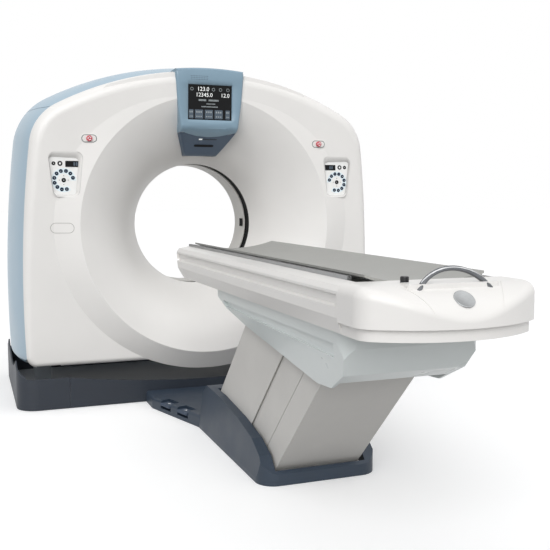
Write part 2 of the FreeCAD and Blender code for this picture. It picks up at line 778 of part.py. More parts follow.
def display_form():
    """The whole display housing: almost upright face, foot that follows the dish, top that follows
    the arch and reaches back over it, and front edges rounded all round."""
    rim, wide = -num("rim_depth"), num("display_half_top") * 2
    top, crease, foot = num("shell_top"), num("display_crease"), num("display_foot")
    thick, lean = num("display_thick"), num("display_foot") / 2
    under, seam = top - num("display_hood"), -num("front_edge") + num("cover_gap")
    section = [(display_face(2 * top), 2 * top), (rim, crease), (rim + lean, foot), (rim + lean + thick, foot),
               (rim + thick, crease + 14), (rim + thick, under), (seam, under), (seam, 2 * top)]
    form = prism([(-wide, y, z) for y, z in section], (2 * wide, 0, 0))
    form = form.common(display_footprint(0.0, 2 * rim, 0)).common(shell_prism(2 * rim, 0, -num("display_crown")))
    rim_edges = [e for e in form.Edges if all(on_display(v.Point) for v in e.Vertexes)
                 and abs(e.CenterOfMass.z - crease) > 1]
    return form.makeFillet(num("display_round"), rim_edges)


def display_face(level):
    """The y of the display's face at a level over the bore axis."""
    rise = num("shell_top") - num("display_crease")
    return -num("rim_depth") - num("display_proud") * (level - num("display_crease")) / rise


def on_display(point):
    """Whether a point lies on the display's face or on the face of its foot."""
    crease, foot = num("display_crease"), num("display_foot")
    bend = -num("rim_depth") + foot / 2 * (crease - point.z) / (crease - foot)
    return abs(point.y - (display_face(point.z) if point.z > crease else bend)) < 0.5


def above_seam(grow):
    """The space over the display's seam, which hangs as an arc; grow moves the seam down."""
    radius, wide = num("display_seam_radius"), num("display_half_top") * 2
    centre, deep = num("display_split") + radius, 2 * num("rim_depth")
    bowl = rod((0, -deep, centre), (0, 0, centre), radius + grow)
    return bowl.fuse(box((-wide, -deep, centre - radius / 2), (wide, 0, 2 * num("shell_top"))))


def screen_block(gap, front, rear):
    """The screen's outline, lying between two depths from the display's face."""
    half, low, top = num("screen_half_width") - gap, num("screen_bottom") + gap, num("screen_top") - gap
    return prism([(-half, display_face(low) + front, low), (-half, display_face(low) + rear, low),
                  (-half, display_face(top) + rear, top), (-half, display_face(top) + front, top)], (2 * half, 0, 0))


def make_display():
    whole, sunk = display_form(), num("screen_sunk")
    back = sunk + num("screen_thick")
    keep_shape("display_housing", whole.common(above_seam(0.0)).cut(screen_block(0.0, -40, back)), ISO)
    keep_shape("display_screen", screen_block(num("screen_gap"), sunk, back), ISO)
    keep_shape("display_foot_cover", whole.cut(above_seam(num("seat_gap"))), ISO)


def make_panels():
    face = front_face_plane(num("panel_level"))
    floor = face + num("panel_recess")
    pads = [panel_opening(side, -3, floor - num("keypad_thick"), floor) for side in (-1, 1)]
    keep_shape("control_panels", Part.makeCompound(pads), ISO)


def make_stop_buttons():
    face = front_face_plane(num("stop_level"))
    x, z = num("stop_place"), num("stop_level")
    thick, button = num("stop_bezel_thick"), num("stop_button_radius")
    bezels = []
    for side, end in ((-1, "left"), (1, "right")):
        place = side * x
        pill = stop_pill(side, 0, face - 2 * thick, face + thick)
        guide = rod((place, face, z), (place, face + 30, z), button + 2.5)
        bore = rod((place, face - 20, z), (place, face + 40, z), button + 0.05)
        bezel = pill.cut(ahead_of_face(-thick)).cut(behind_face(0.0)).fuse(guide).cut(bore)
        bezels.append(bezel)
        cap = rod((place, face - thick - num("stop_button_height"), z), (place, face + 18, z), button)
        rim = [e for e in cap.Edges if e.Closed and e.CenterOfMass.y < face - thick]
        keep_shape("stop_button_" + end, cap.makeFillet(4, rim), ISO)
    keep_shape("stop_bezels", Part.makeCompound(bezels), ISO)


def behind_face(shift):
    """Everything behind the leaning front face, moved back by shift."""
    reach = num("shell_half_width") * 2
    low, high = -num("shell_bottom") * 2, num("shell_top") * 2
    return prism([(-reach, front_face_plane(low) + shift, low), (-reach, front_face_plane(high) + shift, high),
                  (-reach, reach, high), (-reach, reach, low)], (2 * reach, 0, 0))


# ---------------------------------------------------------------- rotor

def ring_piece(name, start, length, outer, inner, place=ISO):
    """A plain ring about the bore axis, from y = start over its length."""
    ring = Piece(name, place)
    flat = ring.circles("ring", "XZ", [("0", "0", outer), ("0", "0", inner)], "-(" + start + ")")
    ring.pad("band", flat, length, back=True)
    return ring


def make_bearing():
    behind = "rotor_plate_front + rotor_plate"
    ring_piece("bearing_inner_race", behind, "race_length", "race_gap_radius", "race_inner")
    ring_piece("bearing_outer_race", behind + " + 2", "race_length",
               "race_outer", "race_gap_radius + running_clearance")
    ring_piece("slip_ring", behind + " + race_length", "ring_length", "ring_radius", "race_inner")


def make_rotor():
    disc = ring_piece("rotor_disc", "rotor_plate_front", "rotor_plate", "rotor_outer", "rotor_inner")
    rim = disc.circles("rim", "XZ", [("0", "0", "rotor_outer"), ("0", "0", "rotor_outer - 22")], "-(rotor_plate_front - belt_width)")
    disc.pad("rim_band", rim, "belt_width", back=True)
    reach, radius, half = num("tube_reach"), num("tube_radius"), num("tube_length") / 2
    front = num("rotor_plate_front")
    tube = rod((-half, -40, reach), (half, -40, reach), radius)
    tube = tube.makeChamfer(16, [e for e in tube.Edges if e.Closed])
    saddle = box((-half + 30, -40, reach - radius * 0.8), (half - 30, front, reach + radius * 0.6))
    port = rod((0, -40 + 10, reach - radius - 24), (0, -40 + 10, reach), 36)
    keep_shape("xray_tube", tube.fuse([saddle, port]), ISO)
    low = reach - radius - 24
    collimator = prism([(-62, -45, low - 1), (62, -45, low - 1), (92, -45, low - 66), (-92, -45, low - 66)],
                       (0, front + 45, 0))
    slot = box((-50, -7, low - 80), (50, 7, low + 5))
    keep_shape("collimator", collimator.cut(slot), ISO)
    inner, outer, angle = num("detector_inner"), num("detector_outer"), num("detector_angle")
    half = num("detector_width") / 2
    section = Part.Face(Part.makePolygon([Vector(0, -half, -inner), Vector(0, front, -inner), Vector(0, front, -outer),
                                          Vector(0, -half, -outer), Vector(0, -half, -inner)]))
    section.rotate(Vector(0, 0, 0), Vector(0, 1, 0), -angle)
    keep_shape("detector_arc", section.revolve(Vector(0, 0, 0), Vector(0, 1, 0), 2 * angle), ISO)
    wide, high, deep = num("generator_width"), num("generator_height"), num("generator_depth")
    generator = Piece("high_voltage_tank", ISO)
    flat = generator.outline("block", "XZ", [("rotor_inner + 70", "-generator_height / 2"),
                                             ("rotor_inner + 70 + generator_width", "-generator_height / 2"),
                                             ("rotor_inner + 70 + generator_width", "generator_height / 2"),
                                             ("rotor_inner + 70", "generator_height / 2")], "-rotor_plate_front")
    generator.pad("tank", flat, "generator_depth")
    generator.soften("edges", lambda e: abs(e.tangentAt(e.FirstParameter).y) > 0.9, "18")
    weight = Piece("balance_weight", ISO)
    flat = weight.outline("block", "XZ", [("-balance_radius - balance_size / 2", "-balance_size"),
                                          ("-balance_radius + balance_size / 2", "-balance_size"),
                                          ("-balance_radius + balance_size / 2", "balance_size"),
                                          ("-balance_radius - balance_size / 2", "balance_size")], "-rotor_plate_front")
    weight.pad("stack", flat, "balance_size * 0.8")
    weight.soften("edges", lambda e: abs(e.tangentAt(e.FirstParameter).y) > 0.9, "6", chamfer=True)


def make_rotor_drive():
    """Motor, pulley and the flat belt that runs round the rotor's rim."""
    x, z = num("pulley_place_x"), -num("pulley_place_z")
    plane = num("rotor_plate_front") - num("belt_width")
    wide = num("belt_width")
    big, small = num("rotor_outer") + num("seat_gap"), num("pulley_radius") + num("seat_gap")
    belt = belt_loop(x, z, big + num("belt_thick"), small + num("belt_thick"), plane + 1, wide - 2)
    belt = belt.cut(belt_loop(x, z, big, small, plane - 5, wide + 10))
    keep_shape("drive_belt", belt, ISO)
    pulley = Piece("motor_pulley", ("pulley_place_x", "0", "iso_height - pulley_place_z"))
    flat = pulley.circles("disc", "XZ", [("0", "0", "pulley_radius")], "-(rotor_plate_front - belt_width)")
    pulley.pad("drum", flat, "belt_width", back=True)
    shaft = pulley.circles("shaft", "XZ", [("0", "0", "14")], "-(rotor_plate_front - belt_width)")
    pulley.pad("stub", shaft, "belt_width + 40", back=True)
    spoke = pulley.circles("holes", "XZ", [("36 * cos(%d)" % a, "36 * sin(%d)" % a, "9") for a in range(0, 360, 60)],
                           "-(rotor_plate_front - belt_width)")
    pulley.pocket("lightening", spoke, "belt_width * 2", both_ways=True)
    motor = Piece("drive_motor", ("pulley_place_x", "0", "iso_height - pulley_place_z"))
    start = "-(rotor_plate_front + 6)"
    flat = motor.circles("can", "XZ", [("0", "0", "motor_radius"), ("0", "0", "14 + running_clearance")], start)
    motor.pad("body", flat, "motor_length", back=True)
    motor.soften("edges", lambda e: e.Closed and e.Curve.Radius > 50, "6", chamfer=True)


def belt_loop(x, z, big, small, front, wide):
    """The solid inside an open belt round the rotor and the motor pulley."""
    gap = math.hypot(x, z)
    away = math.atan2(z, x)
    lift = math.acos((big - small) / gap)
    marks = [(0, 0, big, away + lift), (0, 0, big, away + math.pi), (0, 0, big, away - lift),
             (x, z, small, away - lift), (x, z, small, away), (x, z, small, away + lift)]
    points = [Vector(cx + r * math.cos(a), front, cz + r * math.sin(a)) for cx, cz, r, a in marks]
    edges = [Part.Arc(points[0], points[1], points[2]).toShape(), Part.LineSegment(points[2], points[3]).toShape(),
             Part.Arc(points[3], points[4], points[5]).toShape(), Part.LineSegment(points[5], points[0]).toShape()]
    return Part.Face(Part.Wire(edges)).extrude(Vector(0, wide, 0))


# ---------------------------------------------------------------- tilting frame and base

def covered_room():
    """The space inside the covers, a seat gap away from their inner faces."""
    inset = num("cover_wall") + num("seat_gap")
    back = num("rear_depth")
    rear = shell_prism(num("rear_edge") - 30, back - inset, inset, num("rear_bottom"))
    return front_block(inset).fuse([band_block(inset), rear])


def make_tilt_frame():
    """The plate that carries the bearing, with cheeks, trunnions and the seats of the covers."""
    behind = num("rotor_plate_front") + num("rotor_plate") + 10
    outer, thick = num("frame_outer"), num("frame_plate")
    plate = rod((0, behind, 0), (0, behind + thick, 0), outer)
    cheek, wide, high = num("cheek_place"), num("cheek_thick"), num("cheek_height") / 2
    arms = box((-cheek - wide, behind, -high), (cheek + wide, behind + thick, high))
    side = box((cheek, -high * 0.6, -high), (cheek + wide, behind + thick, high))
    side = side.makeFillet(30, [e for e in side.Edges if abs(e.Vertexes[0].X - e.Vertexes[1].X) > 1
                                and e.CenterOfMass.y < 0])
    end = num("pillar_place") + num("pillar_thick") - num("seat_gap")
    pin = rod((cheek + wide - 1, 0, 0), (end, 0, 0), num("trunnion_radius"))
    collar = rod((cheek + wide - 1, 0, 0), (num("pillar_place") - 3, 0, 0), num("trunnion_radius") + 26)
    front_post = box((cheek, -num("rim_depth") - 40, -20), (cheek + wide, 0, 20))
    flank_post = box((outer - 100, behind, 300), (num("base_half_width") + 50, behind + thick, 340))
    rear_post = box((490, behind, 470), (550, num("rear_depth"), 520))
    pan_post = box((260, behind, -num("shell_bottom")), (320, behind + thick, -outer + 100))
    side = side.fuse([pin, collar, front_post, flank_post, rear_post, pan_post])
    x, z = num("pulley_place_x"), -num("pulley_place_z")
    bracket = box((x - 90, behind, z - 90), (x + 90, behind + thick, z + 260))
    top_post = box((-60, behind, outer - 60), (60, behind + thick, 2 * num("shell_top")))
    frame = plate.fuse([arms, side, mirrored(side), bracket, top_post])
    frame = frame.cut(rod((0, behind - 20, 0), (0, behind + thick + 20, 0), num("race_outer")))
    frame = frame.cut(rod((x, behind - 60, z), (x, behind + 400, z), num("motor_radius")))
    keep_shape("tilt_frame", frame.common(covered_room()), ISO)
    low, clear = num("ring_radius") + num("seat_gap"), behind + thick + 10
    brush = box((-70, clear, low), (70, clear + 40, num("race_outer") + 50))
    foot = box((-70, behind + thick, num("race_outer") + 10), (70, clear + 40, num("race_outer") + 50))
    keep_shape("brush_block", brush.fuse(foot), ISO)


def pillar_section():
    """Side view of a pillar: a slim foot behind the tilt axis that spreads to the bearing head."""
    head, rise = num("pillar_head_half"), num("pillar_head_rise")
    front, rear = num("pillar_foot_front"), num("pillar_foot_rear")
    deep, knee = num("floor_plate") - num("iso_height"), -num("pillar_knee")
    return [(front, deep), (rear, deep), (rear, knee), (rear + 40, knee + 340), (head, -60), (head, rise - 30),
            (head - 30, rise), (30 - head, rise), (-head, rise - 30), (-head, -60), (-60, knee + 340), (front, knee)]


def make_pillars():
    inner, thick = num("pillar_place"), num("pillar_thick")
    bore = num("trunnion_radius") + num("bush_wall")
    shape = prism([(inner, y, z) for y, z in pillar_section()], (thick, 0, 0))
    shape = shape.cut(rod((inner - 5, 0, 0), (inner + thick + 5, 0, 0), bore))
    keep_shape("tilt_pillars", both_sides(shape), ISO)
    bush = rod((inner, 0, 0), (inner + thick, 0, 0), bore)
    bush = bush.cut(rod((inner - 5, 0, 0), (inner + thick + 5, 0, 0), num("trunnion_radius") + num("running_clearance")))
    keep_shape("trunnion_bushes", both_sides(bush), ISO)
    motor = rod((inner + thick, 0, 0), (inner + thick + num("tilt_motor_length"), 0, 0), num("tilt_motor_radius"))
    motor = motor.makeChamfer(8, [e for e in motor.Edges if e.Closed and e.CenterOfMass.x > inner + thick + 5])
    keep_shape("tilt_motor", motor, ISO)


def make_gantry_base():
    """The steel floor plate and the slate walls round it."""
    plate = Piece("gantry_floor_plate")
    inner = "base_half_width - base_wall - seat_gap"
    flat = plate.outline("plan", "XY", [("-(%s)" % inner, "-(base_front - base_wall - seat_gap)"),
                                        (inner, "-(base_front - base_wall - seat_gap)"),
                                        (inner, "base_rear - base_wall - seat_gap"),
                                        ("-(%s)" % inner, "base_rear - base_wall - seat_gap")])
    plate.pad("slab", flat, "floor_plate")
    plate.soften("corners", lambda e: abs(e.tangentAt(e.FirstParameter).z) > 0.9, "base_corner - base_wall - seat_gap")
    walls = base_walls()
    seam, gap = num("base_seam"), num("cover_gap")
    reach, centre = 3000, num("wall_dip") + num("wall_dip_radius")
    front = walls.common(box((-seam + gap, -reach, 0), (seam - gap, 0, reach)))
    front = front.cut(rod((0, -reach, centre), (0, 0, centre), num("wall_dip_radius")))
    rear = walls.common(box((-seam + gap, 0, 0), (seam - gap, reach, reach)))
    keep_shape("base_cover_ends", Part.makeCompound([front, rear]))
    left = walls.common(box((-reach, -reach, 0), (-seam, reach, reach)))
    keep_shape("base_cover_sides", both_sides(left))


def base_walls():
    """The base's outer walls: low in front and behind, with arched shoulders at the sides."""
    half, front, rear = num("base_half_width"), num("base_front"), num("base_rear")
    top, corner, wall = num("base_shoulder_top"), num("base_corner"), num("base_wall")
    outer = rounded_box((-half, -front, 2), (half, rear, top), corner)
    inner = rounded_box((-half + wall, -front + wall, 0), (half - wall, rear - wall, top + 5), corner - wall)
    walls = outer.cut(inner)
    low, reach = num("base_wall_top"), 3000
    keep = num("shell_half_width") + 6
    walls = walls.cut(box((-keep, -reach, low), (keep, reach, reach)))
    swing = Part.makeCylinder(num("band_swing") + num("swing_gap"), 2 * reach, Vector(-reach, 0, num("iso_height")),
                              Vector(1, 0, 0))
    walls = walls.cut(swing)
    crest = num("cheek_crest")
    ends = ((-num("cheek_crest_front"), -num("cheek_end_front"), -reach), (num("cheek_crest_rear"), num("cheek_end_rear"), reach))
    for start, end, away in ends:
        walls = walls.cut(prism([(-reach, start, crest), (-reach, end, low), (-reach, away, low),
                                 (-reach, away, reach), (-reach, start, reach)], (2 * reach, 0, 0)))
    return walls


def rounded_box(low, high, radius):
    """A block with rounded upright edges."""
    shape = box(low, high)
    return shape.makeFillet(radius, [e for e in shape.Edges if abs(e.Vertexes[0].Z - e.Vertexes[1].Z) > 1])


# ---------------------------------------------------------------- table base and lift

def table_y(text):
    """Table places are given as distances towards the foot end, which is along -Y."""
    return -num(text)


def boat_form(inset, low):
    """The table base's form: high at the head end, sloping to the foot end, flanks leaning inward."""
    head, foot = table_y("boat_head") - inset, table_y("boat_foot") + inset
    high, middle, end = (num(t) - inset for t in ("boat_head_top", "boat_middle_top", "boat_foot_top"))
    side = [(head, low), (head, high - 40), (head - 50, high), (-1360, high - 6), (-1650, middle), (-1850, 155 - inset),
            (-1960, 112 - inset), (foot, end), (foot, low)]
    half, lean = num("boat_half_width") - inset, num("boat_lean")
    form = prism([(-half, y, z) for y, z in side], (2 * half, 0, 0))
    top = num("boat_head_top")
    across = [(-half, low), (half, low), (half, 20), (half - lean, top + 20), (lean - half, top + 20), (-half, 20)]
    form = form.common(prism([(x, foot - 10, z) for x, z in across], (0, head - foot + 20, 0)))
    plan = rounded_box((-half, foot, low - 1), (half, head + 200, top + 30), num("boat_corner") - inset)
    return form.common(plan)


def make_table_base():
    wall = num("boat_wall")
    well = box((-num("pedestal_half_width") - 3, table_y("boat_foot") + 12, -2),
               (num("pedestal_half_width") + 3, table_y("boat_head") - 116, 400))
    keep_shape("table_base_cover", boat_form(0.0, 0).cut([boat_form(wall, -1), well]))
    front, rear = table_y("arm_front_place"), table_y("arm_rear_place")
    wide = num("arm_half_gap") + num("arm_plate") + 24
    pivot = num("arm_pivot_height")
    plate = box((-wide - 10, rear - 60, 0), (wide + 10, front + 200, num("boat_seat")))
    ears = []
    pin = num("pin_radius")
    for y in (front, rear):
        inner_ear = num("arm_half_gap") - 1 - 16
        outline = [(95, 5 - pivot), (175, 5 - pivot), (165, 30 - pivot), (40, 14), (18, 36), (-18, 36), (-36, 8),
                   (-30, -26), (22, -35), (85, -90)]
        ear = prism([(inner_ear, y + across, pivot + up) for across, up in outline], (16, 0, 0))
        ears += [ear, mirrored(ear)]
    bar = num("boat_half_width") - num("boat_wall") - num("seat_gap")
    bars = [box((-bar, y, 0), (bar, y + 40, num("boat_seat"))) for y in (rear + 20, front + 120)]
    frame = plate.fuse(ears + bars)
    for y in (front, rear):
        frame = frame.cut(rod((-wide - 50, y, pivot), (wide + 50, y, pivot), pin + num("running_clearance")))
    keep_shape("table_floor_frame", frame)
    motor = rod((-70, front + 90, 62), (70, front + 90, 62), 48)
    cradle = box((-60, front + 50, num("boat_seat")), (60, front + 130, 62))
    keep_shape("lift_motor", motor.fuse(cradle))


def arm_shape(place):
    """A pair of arm plates with a cross tube and its lower pin, on the arm's own line."""
    angle = math.radians(num("arm_angle"))
    length, wide, plate = num("arm_length"), num("arm_width") / 2, num("arm_plate")
    y, z = table_y(place), num("arm_pivot_height")
    inner = num("arm_half_gap")
    pivot, top = Vector(0, y, z), Vector(0, y - length * math.cos(angle), z + length * math.sin(angle))
    bar = box((inner, 0, -wide), (inner + plate, length, wide))
    ends = [rod((inner, 0, 0), (inner + plate, 0, 0), wide), rod((inner, length, 0), (inner + plate, length, 0), wide)]
    bar = bar.fuse(ends)
    tube = rod((-inner - 1, length * 0.55, 0), (inner + 1, length * 0.55, 0), 30)
    arm = bar.fuse([mirrored(bar), tube])
    pin = rod((-inner - plate - 6, 0, 0), (inner + plate + 6, 0, 0), num("pin_radius"))
    arm = arm.fuse(pin)
    turn = FreeCAD.Rotation(Vector(1, 0, 0), 180 - num("arm_angle"))
    arm.Placement = FreeCAD.Placement(pivot, turn)
    return arm, top


def make_lift_arms():
    """Two pairs of parallel arms. The rear pair's upper holes are wider: that pivot follows the others."""
    inner, half = num("arm_half_gap"), num("pedestal_half_width") - num("skin")
    deep = half - num("panel_inset")
    cases = (("lift_arm_front", "arm_front_place", num("running_clearance"), half, [(120, 0), (250, 0)]),
             ("lift_arm_rear", "arm_rear_place", num("open_clearance"), deep, [(90, 0), (520, 0), (300, 110)]))
    for name, place, clearance, reach, spots in cases:
        arm, top = arm_shape(place)
        arm = arm.cut(rod((-400, top.y, top.z), (400, top.y, top.z), num("pin_radius") + clearance))
        for spot in spots:
            y, z = arm_point(place, spot[0], spot[1])
            start = inner if spot[1] == 0 else inner + num("arm_plate") + 12
            stay = rod((start, y, z), (reach, y, z), num("stay_radius"))
            arm = arm.fuse([stay, mirrored(stay)])
        if place == "arm_rear_place":
            side = inner + num("arm_plate")
            block = slanted(place, [(280, -20), (320, -20), (320, 20), (280, 20)], side - 1, side + 18)
            plate = slanted(place, [(280, -20), (320, -20), (320, 125), (280, 125)], side + 10, side + 18)
            arm = arm.fuse([block, plate, mirrored(block), mirrored(plate)])
        keep_shape(name, arm)


def arm_point(place, reach, rise):
    """A point given along an arm from its lower pivot and across it towards the head end."""
    angle = math.radians(num("arm_angle"))
    y = table_y(place) - reach * math.cos(angle) + rise * math.sin(angle)
    return y, num("arm_pivot_height") + reach * math.sin(angle) + rise * math.cos(angle)


def slanted(place, corners, low_x, high_x):
    """A panel that leans with an arm, given by its corners along and across the arm."""
    points = [arm_point(place, reach, rise) for reach, rise in corners]
    return prism([(low_x, y, z) for y, z in points], (high_x - low_x, 0, 0))


def make_pedestal_covers():
    """Overlapping covers round the arms: a head piece, two middle panels and a foot piece."""
    half, skin = num("pedestal_half_width"), num("skin")
    top, rear = num("head_cover_front"), -num("head_cover_rear")
    low, high = num("head_cover_low"), num("head_cover_high")
    side = slanted("arm_front_place", [(low, top), (high, top), (num("head_cover_high_rear"), rear),
                                       (num("head_cover_low_rear"), rear)], half - skin, half)
    face = slanted("arm_front_place", [(low, top), (high, top), (high, top - skin), (low, top - skin)], -half, half)
    keep_shape("pedestal_cover_head", side.fuse([mirrored(side), face]))
    outer = half - num("panel_inset")
    front, seam = num("foot_cover_front"), num("foot_cover_front") + num("panel_groove")
    middle = slanted("arm_rear_place", [(num("middle_low_rear"), seam), (num("middle_low"), num("middle_front")),
                                        (num("middle_high"), num("middle_front")),
                                        (num("middle_shoulder_high"), num("middle_shoulder")),
                                        (num("foot_cover_high") * 0.9, seam)], outer - skin, outer)
    keep_shape("pedestal_panels", both_sides(middle))
    rear, low, high = -num("foot_cover_rear"), num("foot_cover_low"), num("foot_cover_high")
    side = slanted("arm_rear_place", [(num("foot_cover_low_front"), front), (high * 0.85, front), (high, rear), (low, rear)],
                   outer - skin, outer)
    face = slanted("arm_rear_place", [(low, rear), (high, rear), (high, rear + skin), (low, rear + skin)], -outer, outer)
    keep_shape("pedestal_cover_foot", side.fuse([mirrored(side), face]))


# ---------------------------------------------------------------- table top

def make_table_chassis():
    """The steel carriage of the table top: side beams, cross plates and the arms' upper brackets."""
    head, foot = table_y("table_head") - 40, table_y("cap_start") - 50
    beam_in, beam_out = 214, num("rail_place") + num("rail_wide") / 2
    beam = box((beam_in, foot, 780), (beam_out, head, 864))
    cross = []
    for y in (head - 90, -1300, -1700, -2060, -2520, foot):
        cross.append(box((-beam_in - 1, y, 852), (beam_in + 1, y + 90, 864)))
    frame = beam.fuse([mirrored(beam)] + cross)
    angle, length, pivot = math.radians(num("arm_angle")), num("arm_length"), num("arm_pivot_height")
    inner = num("arm_half_gap") - 1 - 16
    for place in ("arm_front_place", "arm_rear_place"):
        y = table_y(place) - length * math.cos(angle)
        z = pivot + length * math.sin(angle)
        lug = prism([(inner, y - 24, z - 24), (inner, y + 24, z - 24), (inner, y + 50, 856), (inner, y - 50, 856)], (16, 0, 0))
        lug = lug.fuse(rod((inner, y, z), (inner + 16, y, z), 30))
        frame = frame.fuse([lug, mirrored(lug)])
        reach = num("arm_half_gap") + num("arm_plate") + 6
        pin = rod((-reach, y, z), (reach, y, z), num("pin_radius"))
        frame = frame.fuse([pin, box((-inner - 16, y - 45, 845), (inner + 16, y + 45, 864))])
    keep_shape("table_carriage", frame)


def make_skirt():
    """The bluish-white moulding under the table top, with a finger groove along each side."""
    outer_half, wall = 252, 6
    top = num("table_underside")
    side = [(-1400, top), (-1405, 700), (-1520, 655), (-1740, 612), (-2440, 512), (-2560, 520), (-2680, 585),
            (-2740, 680), (-2745, top)]
    body = prism([(-outer_half, y, z) for y, z in side], (2 * outer_half, 0, 0))
    body = body.common(rounded_box((-outer_half, -2745, 400), (outer_half, -1000, 800), 62))
    for sign in (-1, 1):
        wedge = prism([(sign * 206, 0, 500), (sign * 400, 0, 500), (sign * 400, 0, 690), (sign * outer_half, 0, 690)],
                      (0, -4000, 0))
        body = body.cut(wedge)
    groove = [(-1480, 690), (-1500, 664), (-2640, 640), (-2660, 690)]
    for sign in (-1, 1):
        scoop = prism([(sign * 232, y, z) for y, z in groove], (sign * 60, 0, 0))
        body = body.cut(scoop)
    hollow = prism([(-202, -1300, 400), (-202, -1300, 800), (-202, -2700, 800), (-202, -2640, 600), (-202, -2520, 400)],
                   (404, 0, 0))
    keep_shape("table_skirt", body.cut(hollow))


def nose_space(shift):
    """The space beyond the table's rounded head end, which curves back to the underside."""
    head, low = table_y("table_head") - shift, num("table_underside") + shift
    radius = num("nose_radius") - shift
    upper, lower = (head, low + radius), (head - radius * 1.3, low)
    middle = (head - radius * 0.30, low + radius * 0.28)
    edges = [Part.Arc(Vector(0, *upper), Vector(0, *middle), Vector(0, *lower)).toShape()]
    corners = [Vector(0, *lower), Vector(0, lower[0], low - 60), Vector(0, head + 60, low - 60),
               Vector(0, head + 60, upper[1]), Vector(0, *upper)]
    edges += [Part.LineSegment(corners[i], corners[i + 1]).toShape() for i in range(4)]
    half = num("table_half_width") + 20
    space = Part.Face(Part.Wire(edges)).extrude(Vector(2 * half, 0, 0))
    space.translate(Vector(-half, 0, 0))
    return space


def make_table_covers():
    """The long white body of the table: two side covers, a head-end chin and the foot-end cap."""
    half, top, low = num("table_half_width"), num("table_top"), num("table_underside")
    head, start = table_y("table_head"), table_y("cap_start")
    gt, gb, deep = num("groove_top"), num("groove_bottom"), num("groove_depth")
    wall = num("table_wall")
    inner = num("rail_place") + num("rail_wide") / 2 + num("seat_gap")
    section = [(inner, top), (half - 12, top - 10), (half, top - 26), (half, gb - 30), (half - 16, low), (inner, low),
               (inner, low + wall), (half - 20, low + wall), (half - deep - wall, gb - 26),
               (half - deep - wall, top - 24), (inner, top - wall)]
    side = prism([(x, head, z) for x, z in section], (0, start - head + num("seat_gap"), 0))
    scoop = prism([(half - deep, head - 2, gt - 8), (half + 5, head - 2, gt), (half + 5, head - 2, gb),
                   (half - deep, head - 2, gb + 8)], (0, -num("groove_end") - head, 0))
    side = side.cut([scoop, nose_space(0.0)])
    keep_shape("table_side_covers", both_sides(side))
    chin_top, chin_end = num("groove_top") - 4, head - 190
    wide = inner - num("seat_gap")
    chin = box((-wide, chin_end, low), (wide, head, chin_top)).cut(nose_space(0.0))
    hollow = box((-wide, chin_end - 1, low + wall), (wide, head - wall, chin_top + 1))
    keep_shape("table_head_cover", chin.cut(hollow.cut(nose_space(wall))))
    make_foot_cap(half, top, low, start)


def foot_plan(inset, low, high):
    """The rounded foot end of the table, seen from above, pulled up from one level to another."""
    half, sweep = num("table_half_width") - inset, num("nose_sweep") - inset
    start, tip = table_y("cap_start"), table_y("table_foot") - num("nose_bulge") + inset
    shoulder = tip + sweep - math.sqrt(sweep ** 2 - half ** 2)
    nose = Part.Arc(Vector(-half, shoulder, low), Vector(0, tip, low), Vector(half, shoulder, low))
    corners = [Vector(half, shoulder, low), Vector(half, start, low), Vector(-half, start, low),
               Vector(-half, shoulder, low)]
    sides = [Part.LineSegment(corners[i], corners[i + 1]).toShape() for i in range(3)]
    form = Part.Face(Part.Wire([nose.toShape()] + sides)).extrude(Vector(0, 0, high - low))
    upright = [e for e in form.Edges if abs(e.Vertexes[0].Z - e.Vertexes[-1].Z) > 1 and e.CenterOfMass.y < start - 10]
    return form.makeFillet(num("nose_corner") - inset, upright)


def foot_form(top, low, start):
    """The foot end's solid: its top falls along an arc to the nose, and its top edge is rounded."""
    tip, run, drop = table_y("table_foot") - num("nose_bulge"), num("nose_run"), num("nose_drop")
    radius, crest = (run ** 2 + drop ** 2) / (2 * drop), tip + run
    ahead = run + 5
    marks = [Vector(0, crest - y, top - radius + math.sqrt(radius ** 2 - y ** 2)) for y in (0, ahead / 2, ahead)]
    corners = [marks[2], Vector(0, marks[2].y, low - 5), Vector(0, start, low - 5), Vector(0, start, top), marks[0]]
    lines = [Part.LineSegment(corners[i], corners[i + 1]).toShape() for i in range(4)]
    side = Part.Face(Part.Wire([Part.Arc(*marks).toShape()] + lines))
    wide = 2 * num("table_half_width")
    side.translate(Vector(-wide / 2, 0, 0))
    form = foot_plan(0.0, low, top).common(side.extrude(Vector(wide, 0, 0)))
    upper = [e for e in form.Edges if e.CenterOfMass.z > low + 5 and e.CenterOfMass.y < start - 1
             and abs(e.Vertexes[0].X + e.Vertexes[-1].X) + abs(e.Vertexes[0].Y - crest) > 1
             and (abs(e.Vertexes[0].X - e.Vertexes[-1].X) > 1 or abs(e.Vertexes[0].Y - e.Vertexes[-1].Y) > 1)]
    return form.makeFillet(num("nose_round"), upper)


def shield_seam(cap):
    """The two seams of the lid on the foot end, which close in towards the nose."""
    wide, high = num("nose_seam_wide") / 2, num("table_top") + 50
    outer, inner = num("nose_seam_outer"), num("nose_seam_inner")
    start, end = -num("nose_seam_start"), table_y("table_foot") - num("nose_bulge") - 10
    slit = prism([(outer - wide, start, 600), (outer + wide, start, 600), (inner + wide, end, 600),
                  (inner - wide, end, 600)], (0, 0, high - 600))
    sunk = cap.copy()
    sunk.translate(Vector(0, 0, -num("nose_seam_deep")))
    return both_sides(slit).cut(sunk)


